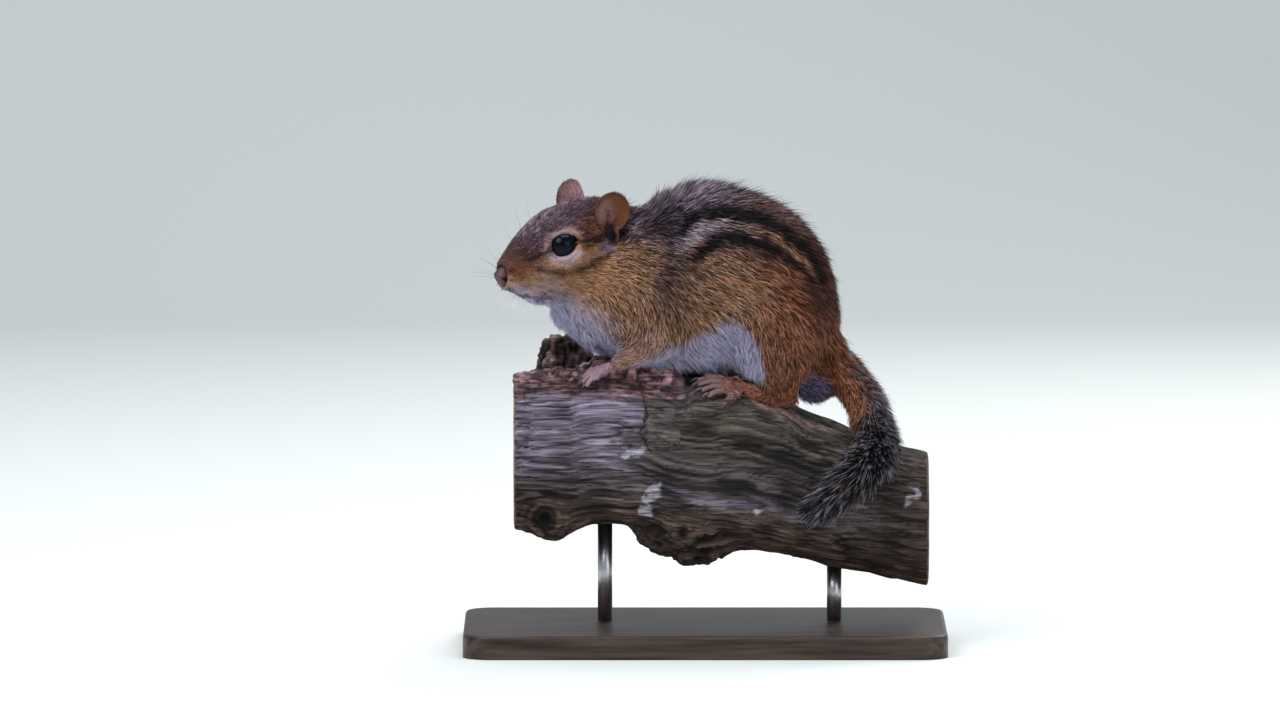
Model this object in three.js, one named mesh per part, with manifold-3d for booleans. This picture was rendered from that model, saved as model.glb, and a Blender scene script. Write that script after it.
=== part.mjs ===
// An eastern chipmunk crouched on a cut length of a dead limb, held by a plain display stand.
// Millimetres, +Z up. The origin is the middle of the base's underside. The animal's head points to -X and its
// left side to -Y, and the body's midplane is y = 0. Its head is turned towards its left.
import * as THREE from "three";
import { mergeVertices } from "three/addons/utils/BufferGeometryUtils.js";
import Module from "manifold-3d";

const wasm = await Module();
wasm.setup();

const V = (x, y, z) => new THREE.Vector3(x, y, z);
const ACROSS = V(0, 1, 0);
const UP = V(0, 0, 1);
const degrees = THREE.MathUtils.degToRad;
const lerp = THREE.MathUtils.lerp;

// Space kept between pieces that touch.
const GAP = 0.3;

// Coat to coat sizes of the animal.
const HEAD_TURN = degrees(34); // nose towards the animal's left
const HEAD_ROLL = degrees(8); // left ear lower than the right
const HEAD_AT = V(-38.2, -5, 133); // middle of the line between the ears, at half the head's height
const EYE_RADIUS = 4.9;
const EAR_HEIGHT = 18.8;
const EAR_WIDTH = 12;
const FORE_STANCE = 13; // forepaws out from the midplane
const HIND_STANCE = 16.5; // hind feet out from the midplane

// The stand.
const BASE_LENGTH = 164;
const BASE_WIDTH = 96;
const BASE_THICK = 8;
const ROD_RADIUS = 2.5;
const ROD_PLACES = { stand_rod_front: -34, stand_rod_back: 44 };

// A smooth curve through a short list of values, read at t from 0 to 1.
function profile(values) {
  const rows = values.map((v) => (Array.isArray(v) ? v : [v]));
  const curve = new THREE.CatmullRomCurve3(
    rows.map(([a, b = 0, c = 0]) => V(a, b, c)),
    false,
    "catmullrom",
    0.5,
  );
  return (t) => curve.getPoint(t);
}

// A closed mesh as a solid that can be joined and cut.
function solid(geometry) {
  const loose = geometry.index ? geometry.toNonIndexed() : geometry;
  const bare = new THREE.BufferGeometry().setAttribute("position", loose.getAttribute("position"));
  const merged = mergeVertices(bare, 1e-4);
  return new wasm.Manifold(
    new wasm.Mesh({
      numProp: 3,
      vertProperties: merged.attributes.position.array,
      triVerts: new Uint32Array(merged.index.array),
    }),
  );
}

// The largest closed surface of a solid, as a geometry.
function surface(made) {
  const bodies = made.decompose().sort((a, b) => b.volume() - a.volume());
  const mesh = bodies[0].getMesh();
  return new THREE.BufferGeometry()
    .setAttribute("position", new THREE.BufferAttribute(new Float32Array(mesh.vertProperties), 3))
    .setIndex(new THREE.BufferAttribute(new Uint32Array(mesh.triVerts), 1));
}

const join = (...solids) => solids.flat().reduce((a, b) => a.add(b));
const cut = (body, ...tools) => tools.flat().reduce((a, b) => a.subtract(b), body);

// One outline across a body. The reach above and below the centre can differ, and a power over 2 squares it.
function outline(centre, side, up, { wide, top, bottom = top, power = 2 }, sides) {
  return Array.from({ length: sides }, (_, i) => {
    const angle = (i / sides) * 2 * Math.PI;
    const [c, s] = [Math.cos(angle), Math.sin(angle)];
    const across = wide * Math.sign(c) * Math.abs(c) ** (2 / power);
    const rise = (s > 0 ? top : bottom) * Math.sign(s) * Math.abs(s) ** (2 / power);
    return centre.clone().addScaledVector(side, across).addScaledVector(up, rise);
  });
}

// Skins a row of outlines and closes both ends with a fan.
function loft(rings) {
  const sides = rings[0].length;
  const points = rings.flat();
  const index = [];
  for (let r = 0; r + 1 < rings.length; r++)
    for (let i = 0; i < sides; i++) {
      const a = r * sides + i;
      const b = r * sides + ((i + 1) % sides);
      index.push(a, b, a + sides, b, b + sides, a + sides);
    }
  const last = (rings.length - 1) * sides;
  for (let i = 1; i + 1 < sides; i++) index.push(0, i + 1, i, last, last + i, last + i + 1);
  const geometry = new THREE.BufferGeometry().setFromPoints(points).setIndex(index);
  return facingOut(geometry);
}

// Turns the faces of a closed mesh round if they point inwards.
function facingOut(geometry) {
  const at = geometry.attributes.position;
  const order = geometry.index.array;
  const [a, b, c] = [V(0, 0, 0), V(0, 0, 0), V(0, 0, 0)];
  let volume = 0;
  for (let i = 0; i < order.length; i += 3) {
    a.fromBufferAttribute(at, order[i]);
    b.fromBufferAttribute(at, order[i + 1]);
    c.fromBufferAttribute(at, order[i + 2]);
    volume += a.dot(b.cross(c));
  }
  if (volume < 0)
    for (let i = 0; i < order.length; i += 3) [order[i + 1], order[i + 2]] = [order[i + 2], order[i + 1]];
  return geometry;
}

// Places from 0 to 1, closer together near both ends, for round ends.
const eased = (count) => Array.from({ length: count }, (_, i) => (1 - Math.cos((Math.PI * i) / (count - 1))) / 2);
const even = (count) => Array.from({ length: count }, (_, i) => i / (count - 1));

// How full a section is near a rounded end: 0 at the end and 1 from `cap` inwards.
function fullness(t, [start, end]) {
  const front = start ? Math.min(1, t / start) : 1;
  const back = end ? Math.min(1, (1 - t) / end) : 1;
  return Math.max(0.04, Math.sqrt(1 - (1 - front) ** 2) * Math.sqrt(1 - (1 - back) ** 2));
}

// A limb along a smooth path. Each station is [x, y, z, half width across, half height].
function limb(stations, { rings = 10, sides = 12, caps = [0.15, 0.15], grow = 0, power = 2 } = {}) {
  const path = new THREE.CatmullRomCurve3(stations.map(([x, y, z]) => V(x, y, z)), false, "centripetal");
  const size = profile(stations.map(([, , , wide, tall]) => [wide, tall]));
  const outlines = eased(rings).map((t) => {
    const tangent = path.getTangent(t);
    const side = ACROSS.clone().addScaledVector(tangent, -ACROSS.dot(tangent)).normalize();
    const up = tangent.clone().cross(side).normalize();
    const full = fullness(t, caps);
    const { x: wide, y: tall } = size(t);
    const centre = path.getPoint(t).addScaledVector(tangent, t < 0.5 ? -grow * (1 - full) : grow * (1 - full));
    return outline(centre, side, up, { wide: wide * full + grow, top: tall * full + grow, power }, sides);
  });
  return loft(outlines);
}

function ellipsoid(radii, centre, { turn = [0, 0, 0], grow = 0, fine = [14, 9] } = {}) {
  const ball = new THREE.SphereGeometry(1, ...fine);
  ball.scale(...radii.map((r) => r + grow));
  ball.applyMatrix4(new THREE.Matrix4().makeRotationFromEuler(new THREE.Euler(...turn.map(degrees), "ZYX")));
  return ball.translate(...centre);
}

// Everything on one side of a plane, from half a gap beyond it.
function halfSpace(point, normal) {
  const reach = 400;
  const box = new THREE.BoxGeometry(reach, reach, reach).translate(0, 0, reach / 2 + GAP / 2);
  box.applyQuaternion(new THREE.Quaternion().setFromUnitVectors(UP, normal.clone().normalize()));
  return solid(box.translate(point.x, point.y, point.z));
}

// Both sides of a cut: the part that the normal points to, then the rest.
const parted = (body, point, normal) => [
  body.intersect(halfSpace(point, normal)),
  body.intersect(halfSpace(point, normal.clone().negate())),
];

// Limb of dead wood that the animal crouches on, with its grain, knots and broken side branch.
const perchTop = profile([[-65, 91], [-44, 91.3], [-22, 90.6], [-2, 88.4], [22, 84], [42, 77.4], [52, 72.6], [76, 65.8]]);
const perchBottom = profile([[-65, 39.5], [-44, 41.5], [-22, 40.5], [-2, 36], [22, 32.2], [42, 27.6], [53, 25.6], [76, 20.3]]);
const perchHalfWidth = profile([24, 26, 27, 27.5, 26.5, 25, 24, 23]);
const RIDGES = 7;
const RIDGE_DEPTH = 0.02;
// Knots and swellings of the wood: along x, degrees round from the far side over the top, spread of each, height.
const KNOTS = [
  { x: -51.5, angle: 246, long: 8, round: 24, high: 0.27 },
  { x: -8, angle: 266, long: 10.5, round: 32, high: 0.36 },
  { x: 30, angle: 200, long: 12, round: 16, high: 0.06 },
  { x: -20, angle: 165, long: 9, round: 14, high: 0.05 },
  { x: -53, angle: 90, long: 15, round: 9, high: 0.12 },
  { x: -28, angle: 90, long: 14, round: 9, high: 0.13 },
  { x: -10, angle: 90, long: 9, round: 10, high: 0.15 },
  { x: 6, angle: 80, long: 10, round: 12, high: 0.15 },
];

// How far the wood stands out or in at one place, as a share of its radius.
function woodRelief(x, angle) {
  const away = Math.max(0, Math.sin(angle)); // the top stays even, where the feet are
  let relief = (1 - away) * RIDGE_DEPTH * Math.sin(RIDGES * angle + 0.04 * x);
  relief += 0.012 * Math.sin(0.12 * x + 3 * angle) * (1 - 0.7 * away);
  for (const knot of KNOTS) {
    const round = (THREE.MathUtils.radToDeg(angle) - knot.angle) / knot.round;
    relief += knot.high * Math.exp(-(((x - knot.x) / knot.long) ** 2) - round ** 2);
  }
  return relief;
}

function perchSolid(grow = 0) {
  const sides = 24;
  const rings = even(29).map((t) => {
    const [top, bottom] = [perchTop(t), perchBottom(t)];
    const centre = V((top.x + bottom.x) / 2, 0, (top.y + bottom.y) / 2);
    const size = { wide: perchHalfWidth(t).x + grow, top: (top.y - bottom.y) / 2 + grow, power: 2.45 };
    return outline(centre, ACROSS, UP, size, sides).map((p, i) => {
      const relief = woodRelief(centre.x, (i / sides) * 2 * Math.PI);
      return p.sub(centre).multiplyScalar(1 + relief).add(centre);
    });
  });
  return solid(loft(rings));
}

function stubSolid(grow = 0) {
  return solid(limb([[-45.5, 22.4, 80, 5.2, 12.2], [-47.5, 24.6, 91.5, 5, 11.2], [-50, 27, 103.5, 4.2, 7.4]], {
    rings: 7, sides: 10, caps: [0, 0.1], grow, power: 2.4,
  }));
}

// Neck and trunk, from the back line, the belly line and the half width.
const backLine = profile([
  [-34, 149.6], [-27.4, 150.6], [-21.6, 149.2], [-16, 153.8], [-9, 156.8], [0, 158.4], [12.2, 156.2],
  [24.6, 151.2], [35, 142.8], [42, 130.8], [45.2, 117.8], [46, 107.5], [48.8, 100.5],
]);
const bellyLine = profile([
  [-53.5, 118.5], [-51.5, 111.5], [-43.5, 104], [-31.6, 98.8], [-17, 95.8], [-2, 94.2], [9, 93.2],
  [17, 92], [23, 90.5], [28, 89.5], [33, 90.5], [37, 92], [40.5, 93],
]);
const trunkWidth = profile([13.5, 15.5, 17.5, 19.5, 21.5, 23, 24.2, 24.6, 23.5, 20.5, 15.5, 9.5, 6.4]);
const trunkDrift = profile([-6, -4.5, -2.6, -1, -0.3, 0, 0, 0, 0, 0, 0, 0, 0]);
const WIDEST = 0.56; // share of the way down from back to belly

function trunkSolid() {
  const rings = even(23).map((t) => {
    const [top, bottom] = [backLine(t), bellyLine(t)];
    const from = V(top.x, trunkDrift(t).x, top.y);
    const to = V(bottom.x, trunkDrift(t).x, bottom.y);
    const depth = from.distanceTo(to);
    const up = from.clone().sub(to).normalize();
    const size = { wide: trunkWidth(t).x, top: depth * WIDEST, bottom: depth * (1 - WIDEST), power: 2.15 };
    return outline(from.clone().lerp(to, WIDEST), ACROSS, up, size, 22);
  });
  return solid(loft(rings));
}

// The head, in its own frame: x forward from the line between the ears, y to the left, z up.
const head = new THREE.Group();
head.position.copy(HEAD_AT);
head.rotation.set(-HEAD_ROLL, 0, Math.PI + HEAD_TURN, "ZYX");
head.updateMatrixWorld(true);
const inHead = (geometry) => solid(geometry.applyMatrix4(head.matrixWorld));

// Stations from the nose back: [forward, top, bottom, half width].
const headStations = [
  [38.6, -2.2, -7.6, 2.4], [37, 1.2, -9, 3.9], [33, 6.6, -10.4, 5.7], [29, 10.8, -12.2, 7.4],
  [25, 14, -13.9, 9.1], [19, 17.4, -15.4, 11.4], [12, 19.4, -16.6, 13.3], [4, 20.6, -17.4, 14.3],
  [-4, 20.6, -17.6, 14.4], [-11, 18.6, -16, 13.4], [-17, 13, -11, 10],
];

function headShape(grow = 0) {
  const line = profile(headStations.map(([forward, top, bottom]) => [forward, top, bottom]));
  const width = profile(headStations.map(([, , , half]) => half));
  const rings = even(18).map((t) => {
    const { x: forward, y: top, z: bottom } = line(t);
    const middle = lerp(bottom, top, 0.44);
    const size = { wide: width(t).x + grow, top: top - middle + grow, bottom: middle - bottom + grow, power: 2.3 };
    return outline(V(forward, 0, middle), ACROSS, UP, size, 22);
  });
  return loft(rings);
}

const EYE_AT = [17.7, 7.1, 6.4];
const EYE_LOOK = V(0.42, 0.88, 0.2).normalize();
const mirrored = ([x, y, z], side) => [x, y * side, z];

const eyeBall = (side, grow = 0) =>
  ellipsoid([EYE_RADIUS, EYE_RADIUS, EYE_RADIUS], mirrored(EYE_AT, side), { grow, fine: [12, 9] });

function lidRing(side) {
  const ring = new THREE.TorusGeometry(4.5, 0.95, 5, 14).scale(1.1, 0.86, 1);
  const look = V(EYE_LOOK.x, EYE_LOOK.y * side, EYE_LOOK.z);
  const facing = new THREE.Matrix4().lookAt(look, V(0, 0, 0), UP);
  const at = V(...mirrored(EYE_AT, side)).addScaledVector(look, 1.5);
  return ring.applyMatrix4(facing).translate(at.x, at.y, at.z);
}

// Cup-shaped ears: shells that open outwards and forwards. The right one is turned further back.
const EAR_AT = { 1: [0.8, 12.2, 15.6], "-1": [1.9, 12.4, 15.6] };
const EAR_OPEN = { 1: 60, "-1": 74 }; // degrees from straight ahead towards the side
const EAR_SPLAY = 14;

function earBowl(side, grow) {
  const radii = [EAR_WIDTH / 2, 4.4, EAR_HEIGHT / 2];
  const turn = [-EAR_SPLAY * side, 0, -(90 - EAR_OPEN[side]) * side];
  const bowl = inHead(ellipsoid(radii, mirrored(EAR_AT[side], side), { turn, grow, fine: [14, 8] }));
  return { radii, turn, bowl };
}

function earSolid(side) {
  const { radii, turn, bowl } = earBowl(side, 0);
  const heading = degrees(EAR_OPEN[side]);
  const open = V(Math.cos(heading), Math.sin(heading) * side, 0.12);
  const [x, y, z] = mirrored(EAR_AT[side], side);
  const inner = ellipsoid([radii[0] - 0.9, 4.3, radii[2] - 1], [x + open.x * 1.7, y + open.y * 1.7, z + 0.3], {
    turn, fine: [14, 8],
  });
  const face = new THREE.BoxGeometry(40, 20, 40).translate(0, 10 * side + 1.1 * side, 0);
  face.applyMatrix4(new THREE.Matrix4().makeRotationFromEuler(new THREE.Euler(...turn.map(degrees), "ZYX")));
  return cut(bowl, inHead(inner), inHead(face.translate(x, y, z)));
}

const NOSE = { radii: [3.2, 3.1, 3.9], at: [36.6, 0, -4.9] };
const noseShape = (grow = 0) => inHead(ellipsoid(NOSE.radii, NOSE.at, { grow, fine: [12, 8] }));

// Swollen whisker pads of the upper lip.
const lipPad = (side) => inHead(ellipsoid([4.8, 3.4, 3.6], [31.5, 3.4 * side, -6.9], { fine: [8, 6] }));

function nostrils() {
  return [-1, 1].map((side) =>
    inHead(ellipsoid([1.5, 0.75, 0.9], [38.2, 2.1 * side, -5.6], { turn: [0, 20, -50 * side], fine: [6, 5] })),
  );
}

// What lies below the line of the mouth, ahead of its corner.
function mouthBlock(grow = 0) {
  const block = new THREE.BoxGeometry(20 + 2 * grow, 30, 12 + 2 * grow).translate(10, 0, -6);
  block.rotateY(degrees(-5));
  return inHead(block.translate(20.5, 0, -12.0));
}

// Limbs. The upper arm and the thigh are the body's own surface inside an outline, parted from it by a thin cut.
function sidePatch(points, side, from, grow = 0) {
  const rim = new THREE.CatmullRomCurve3(points.map(([x, z]) => V(x, z, 0)), true).getPoints(16).slice(0, -1);
  const middle = rim.reduce((sum, p) => sum.add(p), V(0, 0, 0)).divideScalar(rim.length);
  for (const p of rim) p.addScaledVector(p.clone().sub(middle).normalize(), grow);
  const reach = 40;
  const patch = new THREE.ExtrudeGeometry(new THREE.Shape(rim), { depth: reach, bevelEnabled: false });
  return patch.rotateX(Math.PI / 2).translate(0, side > 0 ? grow - from : from - grow + reach, 0);
}

const UPPER_ARM = [[-17, 121], [-8.5, 115], [-7.6, 104], [-14, 97.5], [-22, 98.6], [-26.5, 106], [-25.5, 116]];
const THIGH = [
  [29, 129.4], [37.4, 121], [41.6, 109], [38.6, 97], [35, 87.5], [30, 79.5], [20, 79.5], [16.4, 89],
  [12.4, 99], [9.6, 109], [12.6, 119.6], [20, 127.4],
];

function forelegStations(side) {
  const reach = side > 0 ? 0 : -2.5;
  return [
    [-15, -12 * side, 112, 5, 7.4], [-14.6, -16.6 * side, 105.4, 5.2, 6.6],
    [-18.4 + reach / 3, -16.6 * side, 101.8, 4.4, 5], [-26 + reach / 2, -14.8 * side, 99.2, 3.4, 3.5],
    [-32 + reach, -FORE_STANCE * side, 96.3, 2.7, 2.6],
  ];
}

const foreleg = (side, grow = 0) =>
  solid(limb(forelegStations(side), { rings: 9, sides: 10, caps: [0.12, 0.04], grow }));
const upperArm = (side) => ellipsoid([8.6, 6.4, 11.4], [-15.6, -16.2 * side, 108.6], { turn: [0, 14, 0], fine: [12, 8] });

// A toe with its claw: a bent finger that ends in a thin hooked cone.
function digit(root, tip, radius, claw) {
  const [a, b] = [V(...root), V(...tip)];
  const along = b.clone().sub(a);
  const arch = a.clone().lerp(b, 0.55).add(V(0, 0, radius * 0.8));
  const finger = limb(
    [[...a.toArray(), radius, radius], [...arch.toArray(), radius * 0.95, radius * 0.9], [...b.toArray(), radius * 0.9, radius * 0.85]],
    { rings: 4, sides: 6, caps: [0, 0.35] },
  );
  const heading = along.normalize();
  const start = b.clone().addScaledVector(heading, -radius * 0.4).add(V(0, 0, radius * 0.25));
  const end = b.clone().addScaledVector(heading, claw).add(V(0, 0, -radius * 0.55));
  const middle = start.clone().lerp(end, 0.5).add(V(0, 0, radius * 0.45));
  const thick = radius * 0.55;
  const hook = limb(
    [[...start.toArray(), thick, thick], [...middle.toArray(), thick * 0.75, thick * 0.75], [...end.toArray(), 0.16, 0.16]],
    { rings: 4, sides: 4, caps: [0, 0] },
  );
  return [solid(finger), solid(hook)];
}

function forepaw(side) {
  const reach = side > 0 ? 0 : -2.5;
  const y = -FORE_STANCE * side;
  const palm = limb(
    [[-31 + reach, y, 96.6, 2.5, 2.4], [-34.5 + reach, y, 95, 3.1, 2.1], [-38 + reach, y, 93.2, 3, 1.5]],
    { rings: 6, sides: 10, caps: [0.05, 0.25] },
  );
  const digits = [-1.5, -0.5, 0.5, 1.5].map((place) =>
    digit(
      [-36.6 + reach, y + place * 1.5, 93.3],
      [-41.6 + reach + Math.abs(place) * 0.9, y + place * 2.3, 91.9],
      0.85,
      2.1,
    ),
  );
  return join(solid(palm), digits.flat());
}

function thighStations(side) {
  return [
    [31, -9 * side, 131, 9, 11.6], [27.4, -13.6 * side, 119, 12.2, 15.6], [25.4, -16.4 * side, 106, 12, 15.6],
    [25, -17.6 * side, 95.4, 9.4, 11], [25.8, -18 * side, 88.6, 5.8, 7], [26.4, -17.5 * side, 84, 4, 5.2],
  ];
}

const thigh = (side) => solid(limb(thighStations(side), { rings: 11, sides: 14, caps: [0.22, 0.06] }));

function hindFootStations(side) {
  const y = -HIND_STANCE * side;
  return [
    [30.5, y - 0.8 * side, 86.4, 2.6, 3], [25, y - 0.8 * side, 85.6, 3.2, 3.4], [18, y - 0.6 * side, 87.4, 3, 2.8],
    [11, y - 0.4 * side, 90, 3.4, 2.4], [5.5, y, 91.6, 3.8, 2],
  ];
}

const hindInstep = (side, grow = 0) => solid(limb(hindFootStations(side), { rings: 9, sides: 10, caps: [0.14, 0.1], grow }));

function hindFoot(side) {
  const y = -HIND_STANCE * side;
  const toes = [-1, 0, 1].map((place) =>
    digit([7, y + place * 2.1, 91.4], [-1.4 + Math.abs(place) * 1.2, y + place * 2.9, 90.6], 1.05, 2.6),
  );
  const inner = digit([10, y + 3 * side, 90.4], [4.4, y + 5 * side, 90.6], 0.95, 2.2);
  const outer = digit([12, y - 3 * side, 89.2], [8.2, y - 5.8 * side, 86.6], 1, 2.4);
  return join(hindInstep(side), toes.flat(), inner, outer);
}

// Tail: a core along one path, and flat tapered locks that lean back along it.
const tailStations = [
  [36, 0, 104, 7.6, 8.4], [46.4, -1, 94, 6.6, 7.2], [53.2, -6, 85, 5.8, 6.4], [57.2, -14, 76.8, 5.2, 5.4],
  [58.6, -24, 70.2, 5, 5], [55, -32.4, 65.4, 5, 5], [48.6, -36.2, 59.8, 4.9, 4.9], [43.6, -36.8, 56, 4.4, 4.4],
  [40.4, -36.6, 53.8, 2.6, 2.6],
];
const tailPath = new THREE.CatmullRomCurve3(tailStations.map(([x, y, z]) => V(x, y, z)), false, "centripetal");
const tailCore = (grow = 0) => solid(limb(tailStations, { grow, rings: 14, sides: 8, caps: [0, 0.06] }));

function seeded(seed) {
  let state = seed;
  return () => {
    state = (state * 1664525 + 1013904223) % 4294967296;
    return state / 4294967296;
  };
}

// One lock: four-sided, widest near its root, bending towards the lie of the tail.
function lock(root, out, lie, { length, width, thick, spread }) {
  const start = out.clone().multiplyScalar(Math.sin(spread)).addScaledVector(lie, Math.cos(spread));
  const flat = lie.clone().cross(out).normalize();
  const path = new THREE.QuadraticBezierCurve3(
    root,
    root.clone().addScaledVector(start, length * 0.55),
    root.clone().addScaledVector(start, length * 0.6).addScaledVector(lie, length * 0.42),
  );
  const shape = [0.9, 1, 0.05];
  const rings = shape.map((share, k) => {
    const t = k / (shape.length - 1);
    const tangent = path.getTangent(t);
    const up = tangent.clone().cross(flat).normalize();
    return outline(path.getPoint(t), flat, up, { wide: (width / 2) * share, top: (thick / 2) * share }, 4);
  });
  return solid(loft(rings));
}

function tailLocks() {
  const random = seeded(7);
  const rows = 10;
  const locks = [];
  for (let row = 0; row < rows; row++) {
    const t = lerp(0.27, 0.97, row / (rows - 1));
    const tangent = tailPath.getTangentAt(t);
    const centre = tailPath.getPointAt(t);
    const side = ACROSS.clone().addScaledVector(tangent, -ACROSS.dot(tangent)).normalize();
    const up = tangent.clone().cross(side);
    const around = row < rows - 2 ? 7 : 6;
    for (let k = 0; k < around; k++) {
      const angle = ((k + (row % 2) / 2 + 0.3 * (random() - 0.5)) / around) * 2 * Math.PI;
      const out = side.clone().multiplyScalar(Math.cos(angle)).addScaledVector(up, Math.sin(angle));
      const full = lerp(0.8, 1, Math.min(1, row / 4));
      locks.push(
        lock(centre.clone().addScaledVector(out, 2.2), out, tangent, {
          length: (12.4 + 1.6 * random()) * full,
          width: 5.4 * full,
          thick: 1.5,
          spread: degrees(44 + 8 * random()),
        }),
      );
    }
  }
  return locks;
}

// Joining the flesh and parting it into named pieces.
const perch = perchSolid();
const perchRoom = perchSolid(GAP);
const stubRoom = stubSolid(GAP);

const tail = cut(join(tailCore(), tailLocks()), perchRoom);
const scrotum = solid(ellipsoid([7.4, 5, 4.5], [36.4, -1.5, 87.2], { turn: [0, 12, 0], fine: [12, 8] }));
const SIDES = { left: 1, right: -1 };
const sidesOf = (make) => Object.values(SIDES).map(make);
const bulges = [sidesOf(lipPad), sidesOf(thigh), sidesOf((side) => solid(upperArm(side))), scrotum].flat();
const tailRoot = tailPath.getPointAt(0.135);
const tailLie = tailPath.getTangentAt(0.135);
const [tailBody, tailStart] = parted(tail, tailRoot, tailLie);
const flesh = join(trunkSolid(), inHead(headShape()), tailStart, bulges);
const thighPatch = (side, grow = 0) => solid(sidePatch(THIGH, side, 7, grow));
const armPatch = (side, grow = 0) => solid(sidePatch(UPPER_ARM, side, 9, grow));
const limbRoom = sidesOf((side) => [thighPatch(side, GAP), armPatch(side, GAP), foreleg(side, GAP)]).flat();
const earRoom = sidesOf((side) => earBowl(side, GAP).bowl);

const [headPart, behindHead] = parted(flesh, V(-40, -6, 131.5), V(-0.78, -0.3, 0.5));
const [neckPart, behindNeck] = parted(behindHead, V(-27, 0, 126), V(-0.93, -0.1, 0.33));
const [chestPart, rumpPart] = parted(cut(behindNeck, limbRoom), V(4, 0, 120), V(-1, 0, 0.02));
const rootRoom = tailCore(GAP).intersect(halfSpace(tailRoot.clone().addScaledVector(tailLie, -GAP), tailLie));
const [brush, tailBase] = parted(tailBody, tailPath.getPointAt(0.37), tailPath.getTangentAt(0.37));
const [tailTip, tailMiddle] = parted(brush, tailPath.getPointAt(0.7), tailPath.getTangentAt(0.7));

const faceTools = [
  sidesOf((side) => inHead(eyeBall(side, GAP))),
  earRoom,
  noseShape(GAP),
].flat();
const fullHead = cut(join(headPart, sidesOf((side) => inHead(lidRing(side)))), faceTools);
const jaw = fullHead.intersect(mouthBlock());
const face = cut(fullHead, mouthBlock(GAP));

// The model.
const root = new THREE.Group();
const FINISHES = {
  coat: { color: 0x8a5f3c, roughness: 0.9 },
  pale_coat: { color: 0xcfc6bd, roughness: 0.9 },
  bare_skin: { color: 0x9c7466, roughness: 0.7 },
  eye: { color: 0x0c0a0a, roughness: 0.08 },
  tail_coat: { color: 0x4a3d35, roughness: 0.9 },
  dead_wood: { color: 0x5d4f4a, roughness: 0.95 },
  stand: { color: 0x2f2a27, roughness: 0.5 },
  steel: { color: 0x9a9a9a, roughness: 0.3, metalness: 1 },
};

function add(name, made, finish, parent = root) {
  const geometry = surface(made);
  geometry.applyMatrix4(parent.matrixWorld.clone().invert());
  geometry.computeVertexNormals();
  const mesh = new THREE.Mesh(geometry, new THREE.MeshStandardMaterial(FINISHES[finish]));
  mesh.name = name;
  parent.add(mesh);
}

root.add(head);
add("head", face, "coat", head);
add("lower_jaw", jaw, "pale_coat", head);
add("nose", cut(noseShape(), nostrils()), "bare_skin", head);
for (const [name, side] of Object.entries(SIDES)) {
  add(`eye_${name}`, inHead(eyeBall(side)), "eye", head);
  add(`ear_${name}`, earSolid(side), "coat", head);
}
add("neck", cut(neckPart, earRoom), "coat");
add("chest", cut(chestPart, stubRoom, perchRoom), "coat");
add("rump", cut(rumpPart, rootRoom, perchRoom), "coat");

for (const [name, side] of Object.entries(SIDES)) {
  const wristAt = V(-31.6 + (side > 0 ? 0 : -2.5), 0, 96.4);
  const [paw, arm] = [
    forepaw(side).intersect(halfSpace(wristAt, V(-1, 0, -0.45))),
    join(foreleg(side), flesh.intersect(armPatch(side))).intersect(halfSpace(wristAt, V(1, 0, 0.45))),
  ];
  add(`foreleg_${name}`, cut(arm, perchRoom, stubRoom), "coat");
  add(`forepaw_${name}`, cut(paw, perchRoom, stubRoom), "bare_skin");
  add(`thigh_${name}`, cut(flesh.intersect(thighPatch(side)), hindInstep(side, GAP), perchRoom), "coat");
  add(`hind_foot_${name}`, cut(hindFoot(side), perchRoom), "coat");
}
add("tail_base", tailBase, "coat");
add("tail_middle", tailMiddle, "tail_coat");
add("tail_tip", tailTip, "tail_coat");
add("perch", perch, "dead_wood");
add("perch_stub", cut(stubSolid(), perchRoom), "dead_wood");

// The stand: a flat base with round corners, and two rods up to the wood.
function baseShape() {
  const corner = 10;
  const [x, y] = [BASE_LENGTH / 2, BASE_WIDTH / 2];
  const plan = new THREE.Shape();
  plan.moveTo(-x + corner, -y);
  plan.absarc(x - corner, -y + corner, corner, -Math.PI / 2, 0);
  plan.absarc(x - corner, y - corner, corner, 0, Math.PI / 2);
  plan.absarc(-x + corner, y - corner, corner, Math.PI / 2, Math.PI);
  plan.absarc(-x + corner, -y + corner, corner, Math.PI, 1.5 * Math.PI);
  return new THREE.ExtrudeGeometry(plan, { depth: BASE_THICK, bevelEnabled: false, curveSegments: 6 });
}

function rod(x) {
  const length = 60;
  const bar = new THREE.CylinderGeometry(ROD_RADIUS, ROD_RADIUS, length, 20).rotateX(Math.PI / 2);
  return solid(bar.translate(x, 0, BASE_THICK + GAP + length / 2));
}

add("stand_base", solid(baseShape()), "stand");
for (const [name, x] of Object.entries(ROD_PLACES)) {
  const below = rod(x).decompose()[0];
  const trimmed = cut(below, perchRoom).decompose().sort((a, b) => lowest(a) - lowest(b))[0];
  add(name, trimmed, "steel");
}

function lowest(made) {
  return made.boundingBox().min[2];
}

export default root;
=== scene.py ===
import itertools
from math import cos, pi, radians, sin

import bmesh
import bpy
import numpy as np
from mathutils import Matrix, Vector
from mathutils.bvhtree import BVHTree


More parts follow.
